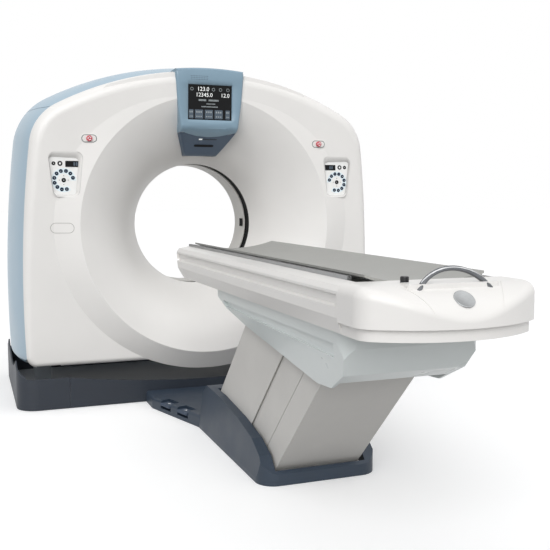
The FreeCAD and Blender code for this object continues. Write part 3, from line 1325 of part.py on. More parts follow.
def make_foot_cap(half, top, low, start):
    """The rounded end of the table with the grab handle, its collar and the latch knob."""
    cap = foot_form(top, low, start)
    step, step_wall = num("nose_step_top"), num("nose_step") + 8
    cap = cap.cut(foot_plan(-5.0, low - 5, step).cut(foot_plan(num("nose_step"), low - 10, step + 5)))
    cap = cap.cut(shield_seam(cap))
    inside = half - step_wall
    pocket = box((-inside, start - 60, low + 8), (inside, start + 30, top - 10))
    collar = rounded_box((-num("handle_half_width") - 22, table_y("handle_place") + 4, top - 20),
                         (num("handle_half_width") + 22, table_y("handle_place") + 66, top + 4), 12)
    cap = cap.fuse(collar).cut([pocket, handle_tube(num("handle_radius") + num("seat_gap"))])
    keep_shape("table_foot_cap", cap)
    keep_shape("grab_handle", handle_tube(num("handle_radius")))
    x, y, high = -num("knob_x"), -num("knob_y"), num("knob_height")
    knob = rod((x, y, top), (x, y, top + high), num("knob_radius"))
    knob = knob.makeFillet(4, [e for e in knob.Edges if e.Closed and e.CenterOfMass.z > top + 9])
    keep_shape("latch_knob", knob)


def handle_tube(radius):
    """The arched tube of the grab handle."""
    half, y = num("handle_half_width"), table_y("handle_place")
    low, top = num("handle_foot") - 24, num("handle_top") - num("handle_radius")
    arc = Part.Arc(Vector(-half, y, low), Vector(0, y + 30, top), Vector(half, y, low))
    ring = Part.Wire(Part.makeCircle(radius, arc.StartPoint, arc.tangent(arc.FirstParameter)[0]))
    return Part.Wire([arc.toShape()]).makePipeShell([ring], True, True)


def make_rails():
    place, wide, high = num("rail_place"), num("rail_wide") / 2, num("rail_high")
    top = num("table_top") + 12
    start, end = table_y("table_head") - 10, table_y("rail_end")
    rail = box((place - wide, end, 864), (place + wide, start, top))
    slot = box((place - 2.5, end - 5, top - 5), (place + 2.5, start + 5, top + 5))
    keep_shape("accessory_rails", both_sides(rail.cut(slot)))


def make_cradle():
    """The shallow curved board that carries the patient, on two runners."""
    half, top, thick, dish = (num(t) for t in ("cradle_half_width", "cradle_top", "cradle_thick", "cradle_dish"))
    head, foot = table_y("cradle_head"), table_y("cradle_foot")
    lip = 8
    up = [Vector(-half, head, top), Vector(0, head, top - dish), Vector(half, head, top)]
    down = [Vector(half, head, top - lip), Vector(0, head, top - dish - thick / 2), Vector(-half, head, top - lip)]
    edges = [Part.Arc(*up).toShape(), Part.LineSegment(up[2], down[0]).toShape(), Part.Arc(*down).toShape(),
             Part.LineSegment(down[2], up[0]).toShape()]
    board = Part.Face(Part.Wire(edges)).extrude(Vector(0, foot - head, 0))
    runner = box((90, foot + 20, 864 + num("seat_gap")), (120, head - 20, top - dish - 2))
    board = board.fuse([runner, mirrored(runner)])
    keep_shape("cradle", board)


def make_pedal_housing():
    """The low housing between gantry and table, with two pedals let into each slanted flank."""
    wide, narrow, top = num("step_half_wide"), num("step_half_narrow") - 2, num("step_top")
    front, bend, end = -num("base_front") - num("seat_gap"), -num("step_bend"), table_y("boat_head") + num("seat_gap")
    plan = [(-wide, front, 0), (wide, front, 0), (wide, bend, 0), (narrow, end, 0), (-narrow, end, 0), (-wide, bend, 0)]
    block = prism(plan, (0, 0, top))
    block = block.makeFillet(16, [e for e in block.Edges if e.CenterOfMass.z > top - 1 and abs(e.CenterOfMass.x) > 20])
    names = {(0.30, -1): "pedal_up_left", (0.66, -1): "pedal_down_left",
             (0.30, 1): "pedal_up_right", (0.66, 1): "pedal_down_right"}
    for (share, side), name in names.items():
        notch, hinge, pedal = pedal_parts(share, side)
        block = block.cut([notch, hinge])
        keep_shape(name, pedal)
    keep_shape("pedal_housing", block)


def pedal_parts(share, side):
    """A pedal on the slanted flank of its housing, the notch round it and the holes of its hinge pin."""
    wide, narrow = num("step_half_wide"), num("step_half_narrow")
    bend, end = -num("step_bend"), table_y("boat_head")
    half, width, thick = num("pedal_length") / 2, num("pedal_width"), num("pedal_thick")
    gap, top, pin = num("pedal_gap"), num("pedal_level"), num("pedal_pin_radius")
    place = Vector(wide + (narrow - wide) * share, bend + (end - bend) * share, 0)
    heading = math.degrees(math.atan2(end - bend, narrow - wide))
    axis_y, axis_z, reach = -width + 6, top - thick / 2, half + gap + 8
    notch = box((-half - gap, -width - gap, top - thick - 16), (half + gap, 60, 200))
    hinge = rod((-reach, axis_y, axis_z), (reach, axis_y, axis_z), pin + num("running_clearance"))
    plate = box((-half, -width, top - thick), (half, 4, top))
    plate = plate.makeFillet(5, [e for e in plate.Edges if abs(e.CenterOfMass.z - top) < 0.1])
    bar = rod((0.5 - reach, axis_y, axis_z), (reach - 0.5, axis_y, axis_z), pin)
    parts = []
    for shape in (notch, hinge, plate.fuse(bar)):
        shape.Placement = FreeCAD.Placement(place, FreeCAD.Rotation(Vector(0, 0, 1), heading))
        parts.append(shape if side > 0 else mirrored(shape))
    return parts


# ---------------------------------------------------------------- build

make_front_cover()
make_rear_cover()
make_band()
make_tunnel()
make_display()
make_panels()
make_stop_buttons()
make_bearing()
make_rotor()
make_rotor_drive()
make_tilt_frame()
make_pillars()
make_gantry_base()
make_table_base()
make_lift_arms()
make_pedestal_covers()
make_table_chassis()
make_skirt()
make_table_covers()
make_rails()
make_cradle()
make_pedal_housing()

doc.recompute()
for item in doc.Objects:
    if "Invalid" in item.State or "Error" in item.State:
        raise RuntimeError(item.Name + " could not be built")
for piece in PIECES:
    if piece.Shape.isNull() or not piece.Shape.isValid() or piece.Shape.Volume <= 0:
        raise RuntimeError(piece.Label + " has no valid solid")
    piece.Shape.exportStep("parts/" + piece.Label + ".step")
print(len(PIECES), "pieces")
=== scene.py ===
"""Finishes, fittings and studio for a computed tomography scanner: a tilting gantry and its patient table."""

import math

import bmesh
import bpy
from mathutils import Matrix, Vector
from mathutils.bvhtree import BVHTree


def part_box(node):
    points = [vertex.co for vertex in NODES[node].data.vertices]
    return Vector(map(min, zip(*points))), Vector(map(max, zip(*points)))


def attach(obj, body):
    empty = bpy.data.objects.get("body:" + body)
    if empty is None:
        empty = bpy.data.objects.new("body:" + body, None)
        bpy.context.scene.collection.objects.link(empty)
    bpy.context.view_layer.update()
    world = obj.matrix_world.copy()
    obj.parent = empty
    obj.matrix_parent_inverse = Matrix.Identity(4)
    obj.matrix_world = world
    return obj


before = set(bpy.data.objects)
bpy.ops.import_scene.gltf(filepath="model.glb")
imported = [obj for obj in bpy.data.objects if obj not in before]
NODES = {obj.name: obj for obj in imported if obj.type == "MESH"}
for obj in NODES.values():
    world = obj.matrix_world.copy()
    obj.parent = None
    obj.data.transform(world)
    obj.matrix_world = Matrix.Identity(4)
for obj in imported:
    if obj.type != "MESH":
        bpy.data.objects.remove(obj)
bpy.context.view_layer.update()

bl_info = {
    "name": "CT scanner finish",
    "version": (1, 0, 0),
    "blender": (4, 5, 0),
    "location": "3D View > Sidebar > Scanner",
    "description": "Dresses the scanner's solids in their real finishes and adds their small fittings",
    "category": "Object",
}

MM = 0.001
ISO = Vector((0, 0, 0.99))        # where the bore axis crosses the scan plane
PANEL_X, PANEL_Z = 0.806, 1.276   # middle of a control panel's recess
RING_X, RING_Z = 0.817, 1.244     # middle of its ring of keys
FIRST_KEY, KEY_STEP = 15, 30.3    # degrees round that ring
STOP_LEVEL = 1.47                 # middle of the emergency stops
DISC_Y = -3.004                   # middle of the plain disc on the table's end
SIDES = ((-1, "left"), (1, "right"))

# The display's front by level: the y of its face, and the half width of the moulding over it.
DISPLAY_FACE = ((1.397, -0.2305), (1.530, -0.4175), (1.545, -0.4350), (1.870, -0.4520))
SHROUD_WIDTHS = ((1.397, 0.097), (1.530, 0.169), (1.700, 0.190), (1.850, 0.200), (1.950, 0.206))
SHROUD_PROUD, SHROUD_EDGE = 4 * MM, 13 * MM   # how far it stands out, and the rounding of its front edges
SHROUD_FOOT, HALF_SEAM = 1.3975, 0.6 * MM     # its lowest level, and half the seam between its two mouldings
# The opening round the screen and the bevel round that.
SCREEN_HALF, SCREEN_LOW, SCREEN_HIGH, SCREEN_RIM = 0.1295, 1.5895, 1.7865, 3 * MM
# The speaker's lowest hole on the left, and the spacing of its holes.
SPEAKER_X, SPEAKER_Z, PITCH = -0.112, 1.813, 9.5 * MM


# ---------------- colours and settings

def linear(code):
    """A colour written as sRGB hex, in the linear values that shaders take."""
    parts = [int(code[i:i + 2], 16) / 255 for i in (1, 3, 5)]
    return tuple(c / 12.92 if c <= 0.04045 else ((c + 0.055) / 1.055) ** 2.4 for c in parts)


def colour_property(name, description, code):
    return bpy.props.FloatVectorProperty(
        name=name, description=description, default=linear(code), subtype="COLOR", size=3, min=0, max=1)


def length_property(name, description, default):
    return bpy.props.FloatProperty(name=name, description=description, default=default, min=0,
                                   unit="LENGTH", subtype="DISTANCE", precision=4)


def plain_property(name, description, default, least=0):
    return bpy.props.FloatProperty(name=name, description=description, default=default, min=least)


class ScannerColours(bpy.types.PropertyGroup):
    """Paint and plastic colours of the scanner."""
    white: colour_property("White covers", "Satin paint on the gantry's and the table's covers", "#E6E4E1")
    blue: colour_property("Blue band", "Grey-blue paint on the gantry's side and top covers", "#8FABBD")
    housing: colour_property("Display housing", "Blue-grey paint round the screen", "#7E98A9")
    slate: colour_property("Slate covers", "Dark paint on the display's foot", "#4A5C70")
    base: colour_property("Gantry base", "Dark paint on the gantry's floor cover", "#1D242E")
    table_base: colour_property("Table base", "Dark paint on the table's floor cover and step", "#2A3644")
    skirt: colour_property("Skirt", "Cool white paint under the table top", "#DEE4E3")
    pedestal: colour_property("Pedestal", "Warm grey paint on the sliding covers", "#D2D0CC")
    cradle: colour_property("Cradle", "Grey laminate that the patient lies on", "#A0A09C")
    key: colour_property("Keys", "Dark blue of the round keys", "#0B2338")
    stop: colour_property("Stop buttons", "Red of the emergency stops", "#C03A4B")


class ScannerSizes(bpy.types.PropertyGroup):
    """Sizes of the small fittings."""
    key_radius: length_property("Key radius", "Radius of one round key", 10.5 * MM)
    key_ring: length_property("Key ring", "Radius of the circle that the keys stand on", 51 * MM)
    key_height: length_property("Key height", "How far the keys stand out of their plate", 1.6 * MM)
    badge_radius: length_property("Plain disc", "Radius of the plain disc on the table's end", 33 * MM)
    speaker_hole: length_property("Speaker hole", "Radius of one hole over the screen", 1.9 * MM)


class ScannerStudio(bpy.types.PropertyGroup):
    """Light and camera."""
    key_light: plain_property("Key light", "Strength of the large soft light", 2.12)
    fill_light: plain_property("Fill light", "Strength of the light on the other side", 0.38)
    sky: plain_property("Room light", "Light from all round", 0.37)
    lens: plain_property("Lens", "Focal length on a 36 mm frame, in millimetres", 53.28, 10)


# ---------------- material building

def add(tree, kind, values=None, links=None, **settings):
    """Adds a node with its settings, its sockets' values and its links, each from a (node, socket name)."""
    made = tree.nodes.new(kind)
    for name, value in settings.items():
        setattr(made, name, value)
    for name, value in (values or {}).items():
        made.inputs[name].default_value = value
    for name, (source, output) in (links or {}).items():
        tree.links.new(source.outputs[output], made.inputs[name])
    return made


def blank(name):
    """A new material with nothing but its output."""
    material = bpy.data.materials.new(name)
    material.use_nodes = True
    material.node_tree.nodes.clear()
    return material, material.node_tree


def rgba(colour):
    return tuple(colour)[:3] + (1.0,)


def shade(colour, share):
    """The same colour, lighter or darker."""
    return tuple(min(1.0, c * share) for c in colour)


# A relief's grain, in metres across and deep. The orange peel of spraying is 2 to 3 mm across on the real
# covers and is drawn at 9 mm, so that it just softens the highlights.
PEEL = (0.009, 0.00006)
SMALL_PEEL = (0.006, 0.00005)
# The leather-like grain of the floor covers is 3 mm across and is drawn at 7 mm.
LEATHER = (0.007, 0.00016)
MOULD_GRAIN = (0.002, 0.00003)
WEAVE_PITCH = 0.004       # of the drawn threads in the cradle's board
PIXEL_CLOUD = 0.004       # over which a lit field of the display varies
CLEAR_ROUGHNESS = 0.12    # of the clear layer over a paint


def coat(name, colour, roughness, mottle, patch, grain=0.0, grain_depth=0.0, metallic=0.0, specular=0.5,
         clear=0.0, stretch=(1, 1, 1), rough_swing=0.06):
    """A painted, moulded or metal surface: a faint patchiness over 'patch' metres in colour and gloss,
    and a relief whose features are 'grain' metres across and 'grain_depth' metres deep."""
    material, tree = blank(name)
    place = add(tree, "ShaderNodeTexCoord")
    grid = add(tree, "ShaderNodeMapping", {"Scale": stretch}, {"Vector": (place, "Object")})
    clouds = add(tree, "ShaderNodeTexNoise", {"Scale": 1 / patch, "Detail": 3.0, "Roughness": 0.55},
                 {"Vector": (grid, "Vector")})
    tones = add(tree, "ShaderNodeValToRGB", links={"Fac": (clouds, "Fac")})
    for end, place_on_ramp, share in zip(tones.color_ramp.elements, (0.3, 0.7), (1 - mottle, 1 + mottle)):
        end.position = place_on_ramp
        end.color = rgba(shade(colour, share))
    gloss = add(tree, "ShaderNodeMapRange",
                {"From Min": 0.25, "From Max": 0.75, "To Min": roughness - rough_swing,
                 "To Max": roughness + rough_swing}, {"Value": (clouds, "Fac")})
    shader = add(tree, "ShaderNodeBsdfPrincipled",
                 {"Metallic": metallic, "Specular IOR Level": specular, "Coat Weight": clear,
                  "Coat Roughness": CLEAR_ROUGHNESS},
                 {"Base Color": (tones, "Color"), "Roughness": (gloss, "Result")})
    if grain:
        pits = add(tree, "ShaderNodeTexNoise", {"Scale": 1 / grain, "Detail": 2.0, "Roughness": 0.5},
                   {"Vector": (grid, "Vector")})
        relief = add(tree, "ShaderNodeBump", {"Strength": 1.0, "Distance": grain_depth},
                     {"Height": (pits, "Fac")})
        tree.links.new(relief.outputs["Normal"], shader.inputs["Normal"])
    add(tree, "ShaderNodeOutputMaterial", links={"Surface": (shader, "BSDF")})
    return material


def laminate(name, colour):
    """Phenolic-faced carbon board: an even grey with a woven texture pressed into it. The threads are 1.2 mm
    wide on the real board and are drawn 4 mm wide, the least that shows at this distance."""
    material, tree = blank(name)
    place = add(tree, "ShaderNodeTexCoord")
    across, along = (
        add(tree, "ShaderNodeTexWave", {"Scale": 1 / WEAVE_PITCH / 6.28, "Distortion": 0.0},
            {"Vector": (place, "Object")}, bands_direction=way) for way in "XY")
    weave = add(tree, "ShaderNodeMath", links={0: (across, "Fac"), 1: (along, "Fac")}, operation="MULTIPLY")
    clouds = add(tree, "ShaderNodeTexNoise", {"Scale": 6.25, "Detail": 4.0}, {"Vector": (place, "Object")})
    tones = add(tree, "ShaderNodeMix", {"A": rgba(shade(colour, 0.93)), "B": rgba(shade(colour, 1.05))},
                {"Factor": (clouds, "Fac")}, data_type="RGBA")
    threads = add(tree, "ShaderNodeMix", {"B": rgba(shade(colour, 0.86))},
                  {"Factor": (weave, "Value"), "A": (tones, "Result")}, data_type="RGBA")
    relief = add(tree, "ShaderNodeBump", {"Strength": 0.5, "Distance": 0.0003}, {"Height": (weave, "Value")})
    shader = add(tree, "ShaderNodeBsdfPrincipled", {"Roughness": 0.5, "Specular IOR Level": 0.45},
                 {"Base Color": (threads, "Result"), "Normal": (relief, "Normal")})
    add(tree, "ShaderNodeOutputMaterial", links={"Surface": (shader, "BSDF")})
    return material


def shaded_recess(name, colour):
    """The covers' white paint inside a key recess, with painted shade: an ambient occlusion node darkens it
    where the walls close in, as shade falls in a room that lights the recess from the front only."""
    material, tree = blank(name)
    # Painted shade: the colour falls to 30 per cent of the white where ambient occlusion finds walls close
    # by.
    depth = add(tree, "ShaderNodeAmbientOcclusion", {"Distance": 45 * MM, "Color": (1, 1, 1, 1)}, samples=8)
    grain = add(tree, "ShaderNodeTexNoise", {"Scale": 1 / PEEL[0], "Detail": 2.0})
    tone = add(tree, "ShaderNodeMix", {"A": rgba(shade(colour, 0.30)), "B": rgba(colour)},
               {"Factor": (depth, "AO")}, data_type="RGBA")
    relief = add(tree, "ShaderNodeBump", {"Strength": 1.0, "Distance": PEEL[1]}, {"Height": (grain, "Fac")})
    shader = add(tree, "ShaderNodeBsdfPrincipled",
                 {"Roughness": 0.4, "Coat Weight": 0.15, "Coat Roughness": CLEAR_ROUGHNESS},
                 {"Base Color": (tone, "Result"), "Normal": (relief, "Normal")})
    add(tree, "ShaderNodeOutputMaterial", links={"Surface": (shader, "BSDF")})
    return material


def make_materials():
    """Every finish of the scanner, by the name of what it is."""
    c = bpy.context.scene.scanner_colours
    made = {}
    # Two-pack polyurethane paint on moulded covers: satin, with a faint orange peel.
    made["white_paint"] = coat("white_paint_on_moulded_cover", c.white, 0.38, 0.018, 0.35, *PEEL, clear=0.15)
    # The key recesses' walls: the same white paint with painted shade, darker where the walls close in.
    made["painted_recess_shade"] = shaded_recess("white_paint_with_painted_recess_shade", c.white)
    made["blue_paint"] = coat("blue_paint_on_moulded_cover", c.blue, 0.34, 0.03, 0.30, *PEEL, clear=0.2)
    made["housing_paint"] = coat("blue_grey_paint_on_housing", c.housing, 0.36, 0.025, 0.12, *SMALL_PEEL,
                                 clear=0.15)
    made["slate_paint"] = coat("slate_paint_on_housing", c.slate, 0.42, 0.04, 0.12, *SMALL_PEEL)
    made["skirt_paint"] = coat("cool_white_paint_on_skirt", c.skirt, 0.32, 0.02, 0.25, *PEEL, clear=0.2)
    # Textured ABS floor covers: a leather-like grain, which breaks up the gloss and hides scuffs.
    made["base_plastic"] = coat("grained_abs_gantry_base", c.base, 0.5, 0.08, 0.15, *LEATHER)
    made["table_base_plastic"] = coat("grained_abs_table_base", c.table_base, 0.46, 0.07, 0.15, *LEATHER)
    # Powder coat on the pedestal's sheet covers: a fine even matt grain that shows no reflections.
    made["pedestal_coat"] = coat("warm_grey_powder_coat", c.pedestal, 0.52, 0.03, 0.2, 0.005, 0.00008)
    # Tinted polycarbonate over the beam: black from outside, with a hard-coat that dulls its gloss.
    made["window_film"] = coat("tinted_polycarbonate_window", linear("#040506"), 0.6, 0.1, 0.1, specular=0.05)
    made["liner_plastic"] = coat("grey_moulded_liner", linear("#CFCDC8"), 0.45, 0.03, 0.1, 0.005, 0.00006)
    # The display: plain cover glass over printed fields and lit figures.
    made["screen_glass"] = coat("display_cover_glass", linear("#060709"), 0.3, 0.15, 0.05, specular=0.2,
                                rough_swing=0.03)
    made["field_print"] = coat("grey_display_field", linear("#56616C"), 0.5, 0.12, 0.01, specular=0.2)
    made["lit_figure"] = glowing("lit_display_figure", linear("#F2F4F2"), 0.35)
    made["lit_text"] = glowing("dim_display_row", linear("#8F9698"), 0.2)
    # Control panels: printed polyester foil with silicone keys.
    made["keypad_foil"] = coat("polyester_keypad_foil", linear("#ECECEA"), 0.4, 0.02, 0.03, *MOULD_GRAIN)
    made["key_rubber"] = coat("dark_blue_silicone_key", c.key, 0.6, 0.08, 0.008, 0.001, 0.00003, specular=0.2)
    # Black silicone of the centre and round keys; on the media slot it is painted shade.
    made["dark_key_and_slot_shade"] = coat("silicone_keys_black_and_painted_slot_shade", linear("#0B0D10"), 0.55, 0.15, 0.008, 0.001, 0.00003,
                             specular=0.2)
    made["pale_print"] = coat("pale_blue_screen_print", linear("#DFEBF0"), 0.5, 0.03, 0.01)
    made["white_print"] = coat("white_screen_print", linear("#ECEDEC"), 0.5, 0.03, 0.01)
    made["grey_print"] = coat("grey_screen_print", linear("#7C8482"), 0.55, 0.05, 0.01, specular=0.3)
    # Emergency stops: glossy moulded ABS.
    made["bezel_plastic"] = coat("white_abs_bezel", linear("#E8E6E3"), 0.3, 0.02, 0.02, 0.003, 0.00003,
                                 clear=0.2)
    made["stop_plastic"] = coat("red_moulded_button", c.stop, 0.3, 0.06, 0.01, *MOULD_GRAIN, clear=0.3)
    # Welded steel painted light grey, slightly uneven from the brush.
    made["frame_enamel"] = coat("grey_enamel_on_welded_steel", linear("#8A9096"), 0.45, 0.07, 0.08, 0.01,
                                0.0001)
    # Ground steel and turned brass: fine lines round the part from the tool.
    made["ground_steel"] = coat("ground_bearing_steel", linear("#B8BABD"), 0.24, 0.06, 0.03, *MOULD_GRAIN,
                                metallic=1.0, stretch=(1, 6, 1))
    made["ring_brass"] = coat("turned_brass_ring", linear("#B98E4C"), 0.26, 0.08, 0.03, *MOULD_GRAIN,
                              metallic=1.0, stretch=(1, 12, 1))
    made["motor_paint"] = coat("black_paint_on_cast_motor", linear("#1E2023"), 0.42, 0.12, 0.04, 0.004,
                               0.0001)
    made["belt_rubber"] = coat("black_belt_rubber", linear("#17181A"), 0.7, 0.15, 0.02, 0.003, 0.0002)
    made["cradle_board"] = laminate("woven_phenolic_cradle_board", c.cradle)
    # Drawn aluminium, anodised: fine lines along the rail, a soft streaky highlight.
    made["anodised"] = coat("anodised_aluminium_rail", linear("#9A9B9C"), 0.33, 0.12, 0.012, 0.004, 0.00005,
                            metallic=1.0, stretch=(1, 0.04, 1))
    # Polished stainless tube, darkened as a painted dark reflection: mirrors the bright room and goes black
    # at its edges.
    made["handle_steel"] = coat("steel_tube_with_painted_dark_reflection", linear("#6E7073"), 0.16, 0.1, 0.05, metallic=1.0,
                                rough_swing=0.05)
    # A polished strip on the handle's tube: a painted highlight along its upper front.
    made["polished"] = coat("polished_steel_painted_highlight", linear("#C9CACC"), 0.12, 0.05, 0.03, metallic=1.0,
                            rough_swing=0.04)
    # Black moulded plastic of the latch knob and the lamp strip; on the speaker's holes it is painted shade.
    made["black_plastic_and_hole_shade"] = coat("black_moulded_plastic_and_painted_hole_shade", linear("#141517"), 0.35, 0.2, 0.01, 0.002, 0.00005)
    made["pedal_rubber"] = coat("ribbed_pedal_rubber", linear("#3A4657"), 0.62, 0.1, 0.02, 0.003, 0.0002)
    made["badge_metal"] = coat("brushed_grey_disc", linear("#A3A5A6"), 0.34, 0.08, 0.01, 0.003, 0.00004,
                               metallic=0.85, stretch=(1, 8, 1))
    # The shadow in a fine seam between two flush covers.
    made["seam_shadow"] = coat("shadow_in_fine_seam", linear("#A3A19D"), 0.7, 0.1, 0.02, specular=0.2)
    return made


def glowing(name, colour, strength):
    """A pixel area of the lit display: its own colour, slightly uneven, and a little light of its own."""
    material, tree = blank(name)
    place = add(tree, "ShaderNodeTexCoord")
    dots = add(tree, "ShaderNodeTexNoise", {"Scale": 1 / PIXEL_CLOUD}, {"Vector": (place, "Object")})
    tones = add(tree, "ShaderNodeMix", {"A": rgba(shade(colour, 0.9)), "B": rgba(colour)},
                {"Factor": (dots, "Fac")}, data_type="RGBA")
    shader = add(tree, "ShaderNodeBsdfPrincipled", {"Roughness": 0.5, "Emission Strength": strength},
                 {"Base Color": (tones, "Result"), "Emission Color": (tones, "Result")})
    add(tree, "ShaderNodeOutputMaterial", links={"Surface": (shader, "BSDF")})
    return material


MATERIALS = {}


def finish(name):
    """The finish of that name; all are made the first time that one is asked for."""
    if not MATERIALS:
        MATERIALS.update(make_materials())
    return MATERIALS[name]


def dress(name, *nodes):
    """Gives the finish to whole nodes of the model."""
    for node in nodes:
        for slot in NODES[node].material_slots:
            slot.material = finish(name)


def soften(width, segments, *nodes):
    """Rounds the sharp edges of moulded covers, without a change to their meshes."""
    for node in nodes:
        bevel = NODES[node].modifiers.new("soft_edges", "BEVEL")
        bevel.width = width
        bevel.segments = segments
        bevel.limit_method = "ANGLE"
        bevel.angle_limit = math.radians(32)
        bevel.harden_normals = True


# ---------------- small pieces

def piece(name, form, material, body="gantry", smooth=True):
    """Makes an object of a shape or a finished mesh, whose points are already in the scanner's own frame."""
    mesh = form if isinstance(form, bpy.types.Mesh) else to_mesh(name, form)
    if smooth:
        for face in mesh.polygons:
            face.use_smooth = True
    mesh.materials.append(finish(material))
    made = bpy.data.objects.new(name, mesh)
    bpy.context.scene.collection.objects.link(made)
    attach(made, body)
    return made


def to_mesh(name, shape):
    """The mesh of a shape, which is freed."""
    mesh = bpy.data.meshes.new(name)
    shape.normal_update()
    shape.to_mesh(mesh)
    shape.free()
    return mesh


def face_frame(origin, facing, up=(0, 0, 1)):
    """A frame on a flat face: x to the viewer's right, y up along the face, z out of it."""
    out = Vector(facing).normalized()
    right = Vector(up).cross(out).normalized()
    frame_matrix = Matrix((right, out.cross(right), out)).transposed().to_4x4()
    frame_matrix.translation = Vector(origin)
    return frame_matrix


def raised(frame_matrix, lift):
    """The same frame, moved out of its face."""
    return frame_matrix @ Matrix.Translation((0, 0, lift))


def strips(shape, rows, closed=False, flip=False):
    """Joins rows of points into faces. Each row is a ring if closed; a flip turns the faces over."""
    for a, b in zip(rows, rows[1:]):
        for i in range(len(a) if closed else len(a) - 1):
            after = (i + 1) % len(a)
            shape.faces.new((a[i], b[i], b[after], a[after]) if flip else (a[i], a[after], b[after], b[i]))


def turned_disc(shape, frame_matrix, centre, profile, steps=40):
    """Adds a round piece, turned from (radius, height) points that run from the rim to the middle."""
    rings = []
    for radius, height in profile:
        if radius == 0:
            rings.append([shape.verts.new(frame_matrix @ Vector((centre[0], centre[1], height)))])
            continue
        ring = []
        for i in range(steps):
            angle = 2 * math.pi * i / steps
            x, y = centre[0] + radius * math.cos(angle), centre[1] + radius * math.sin(angle)
            ring.append(shape.verts.new(frame_matrix @ Vector((x, y, height))))
        rings.append(ring)
    for outer, inner in zip(rings, rings[1:]):
        for i in range(steps):
            after = (i + 1) % steps
            if len(inner) == 1:
                shape.faces.new((outer[i], outer[after], inner[0]))
            else:
                shape.faces.new((outer[i], outer[after], inner[after], inner[i]))


def key_profile(radius, height, dish):
    """A low round key with a rolled edge and a dished top."""
    edge = min(radius * 0.18, height * 0.8)
    return [(radius, 0), (radius, height - edge), (radius - edge * 0.3, height - edge * 0.25),
            (radius - edge, height), (radius * 0.5, height - dish), (0, height - dish * 1.3)]


def slab(shape, frame_matrix, outline, thick, edge=0.0):
    """Adds a flat plate over an outline of (x, y) points, with its front edge eased."""
    count = len(outline)
    middle = Vector((sum(p[0] for p in outline) / count, sum(p[1] for p in outline) / count))
    layers = []
    for height, inward in ((0, 0), (thick - edge, 0), (thick, edge)):
        ring = []
        for x, y in outline:
            spot = Vector((x, y))
            if inward:
                spot -= (spot - middle).normalized() * inward
            ring.append(shape.verts.new(frame_matrix @ Vector((spot.x, spot.y, height))))
        layers.append(ring)
    strips(shape, layers, closed=True)
    shape.faces.new(layers[-1])


def rounded(width, height, radius, steps=6, centre=(0, 0)):
    """A rounded rectangle's outline, anticlockwise."""
    points = []
    for corner, (sx, sy) in enumerate(((1, -1), (1, 1), (-1, 1), (-1, -1))):
        for i in range(steps + 1):
            angle = math.radians(-90 + 90 * corner + 90 * i / steps)
            points.append((centre[0] + sx * (width / 2 - radius) + radius * math.cos(angle),
                           centre[1] + sy * (height / 2 - radius) + radius * math.sin(angle)))
    return points


def eased(corners, radius, steps=6):
    """A closed outline of corners, anticlockwise, with each corner turned into an arc."""
    points = []
    for i, corner in enumerate(corners):
        here = Vector(corner)
        back = (Vector(corners[i - 1]) - here).normalized()
        on = (Vector(corners[(i + 1) % len(corners)]) - here).normalized()
        half = math.acos(max(-1, min(1, back.dot(on)))) / 2
        centre = here + (back + on).normalized() * radius / math.sin(half)
        start, end = (here + way * radius / math.tan(half) - centre for way in (back, on))
        turn = start.angle_signed(end)
        for k in range(steps + 1):
            angle = math.atan2(start.y, start.x) - turn * k / steps
            points.append((centre.x + radius * math.cos(angle), centre.y + radius * math.sin(angle)))
    return points


def arc_band(inner, outer, start, end, steps=30):
    """A C-shaped band's outline, from one angle to another in degrees."""
    angles = [math.radians(start + (end - start) * i / steps) for i in range(steps + 1)]
    return [(radius * math.cos(angle), radius * math.sin(angle))
            for radius, run in ((outer, angles), (inner, angles[::-1])) for angle in run]


def ring_strip(shape, frame_matrix, outline, width, thick):
    """Adds a narrow raised line that follows a closed outline."""
    count = len(outline)
    rows = []
    for i, (x, y) in enumerate(outline):
        before, after = Vector(outline[i - 1]), Vector(outline[(i + 1) % count])
        run = (after - before).normalized()
        out = Vector((run.y, -run.x)) * width / 2
        spot = Vector((x, y))
        row = []
        for across, height in ((-1, 0), (-0.7, thick), (0.7, thick), (1, 0)):
            p = spot + out * across
            row.append(shape.verts.new(frame_matrix @ Vector((p.x, p.y, height))))
        rows.append(row)
    strips(shape, rows + rows[:1])


def figures(text, size, frame_matrix, place, lift):
    """Plain figures as flat meshes on a face, centred on their place."""
    curve = bpy.data.curves.new("figures", "FONT")
    curve.body = text
    curve.size = size
    curve.align_x = "CENTER"
    curve.align_y = "CENTER"
    curve.resolution_u = 3
    holder = bpy.data.objects.new("figures", curve)
    bpy.context.scene.collection.objects.link(holder)
    bpy.context.view_layer.update()
    mesh = bpy.data.meshes.new_from_object(holder.evaluated_get(bpy.context.evaluated_depsgraph_get()))
    bpy.data.objects.remove(holder)
    bpy.data.curves.remove(curve)
    mesh.transform(frame_matrix @ Matrix.Translation((place[0], place[1], lift)))
    mesh.materials.clear()
    return mesh


def surface_of(*nodes):
    """The nodes' outer skin, for finding where a ray meets them."""
    points, faces = [], []
    for node in nodes:
        base = len(points)
        mesh = NODES[node].data
        points += [v.co.copy() for v in mesh.vertices]
        faces += [[base + i for i in face.vertices] for face in mesh.polygons]
    return BVHTree.FromPolygons(points, faces)


def front_hit(skin, x, z):
    """Where a line along the bore, from the viewer's side, first meets a skin, and its normal there."""
    spot, normal, _, _ = skin.ray_cast(Vector((x, -1, z)), Vector((0, 1, 0)))
    return spot, normal


def front_plane(node):
    """Centre and outward direction of a node's main face towards the viewer."""
    total, weight, facing = Vector(), 0.0, Vector()
    for face in NODES[node].data.polygons:
        if face.normal.y < -0.9:
            total += face.center * face.area
            facing += face.normal * face.area
            weight += face.area
    return total / weight, facing.normalized()


# ---------------- operators

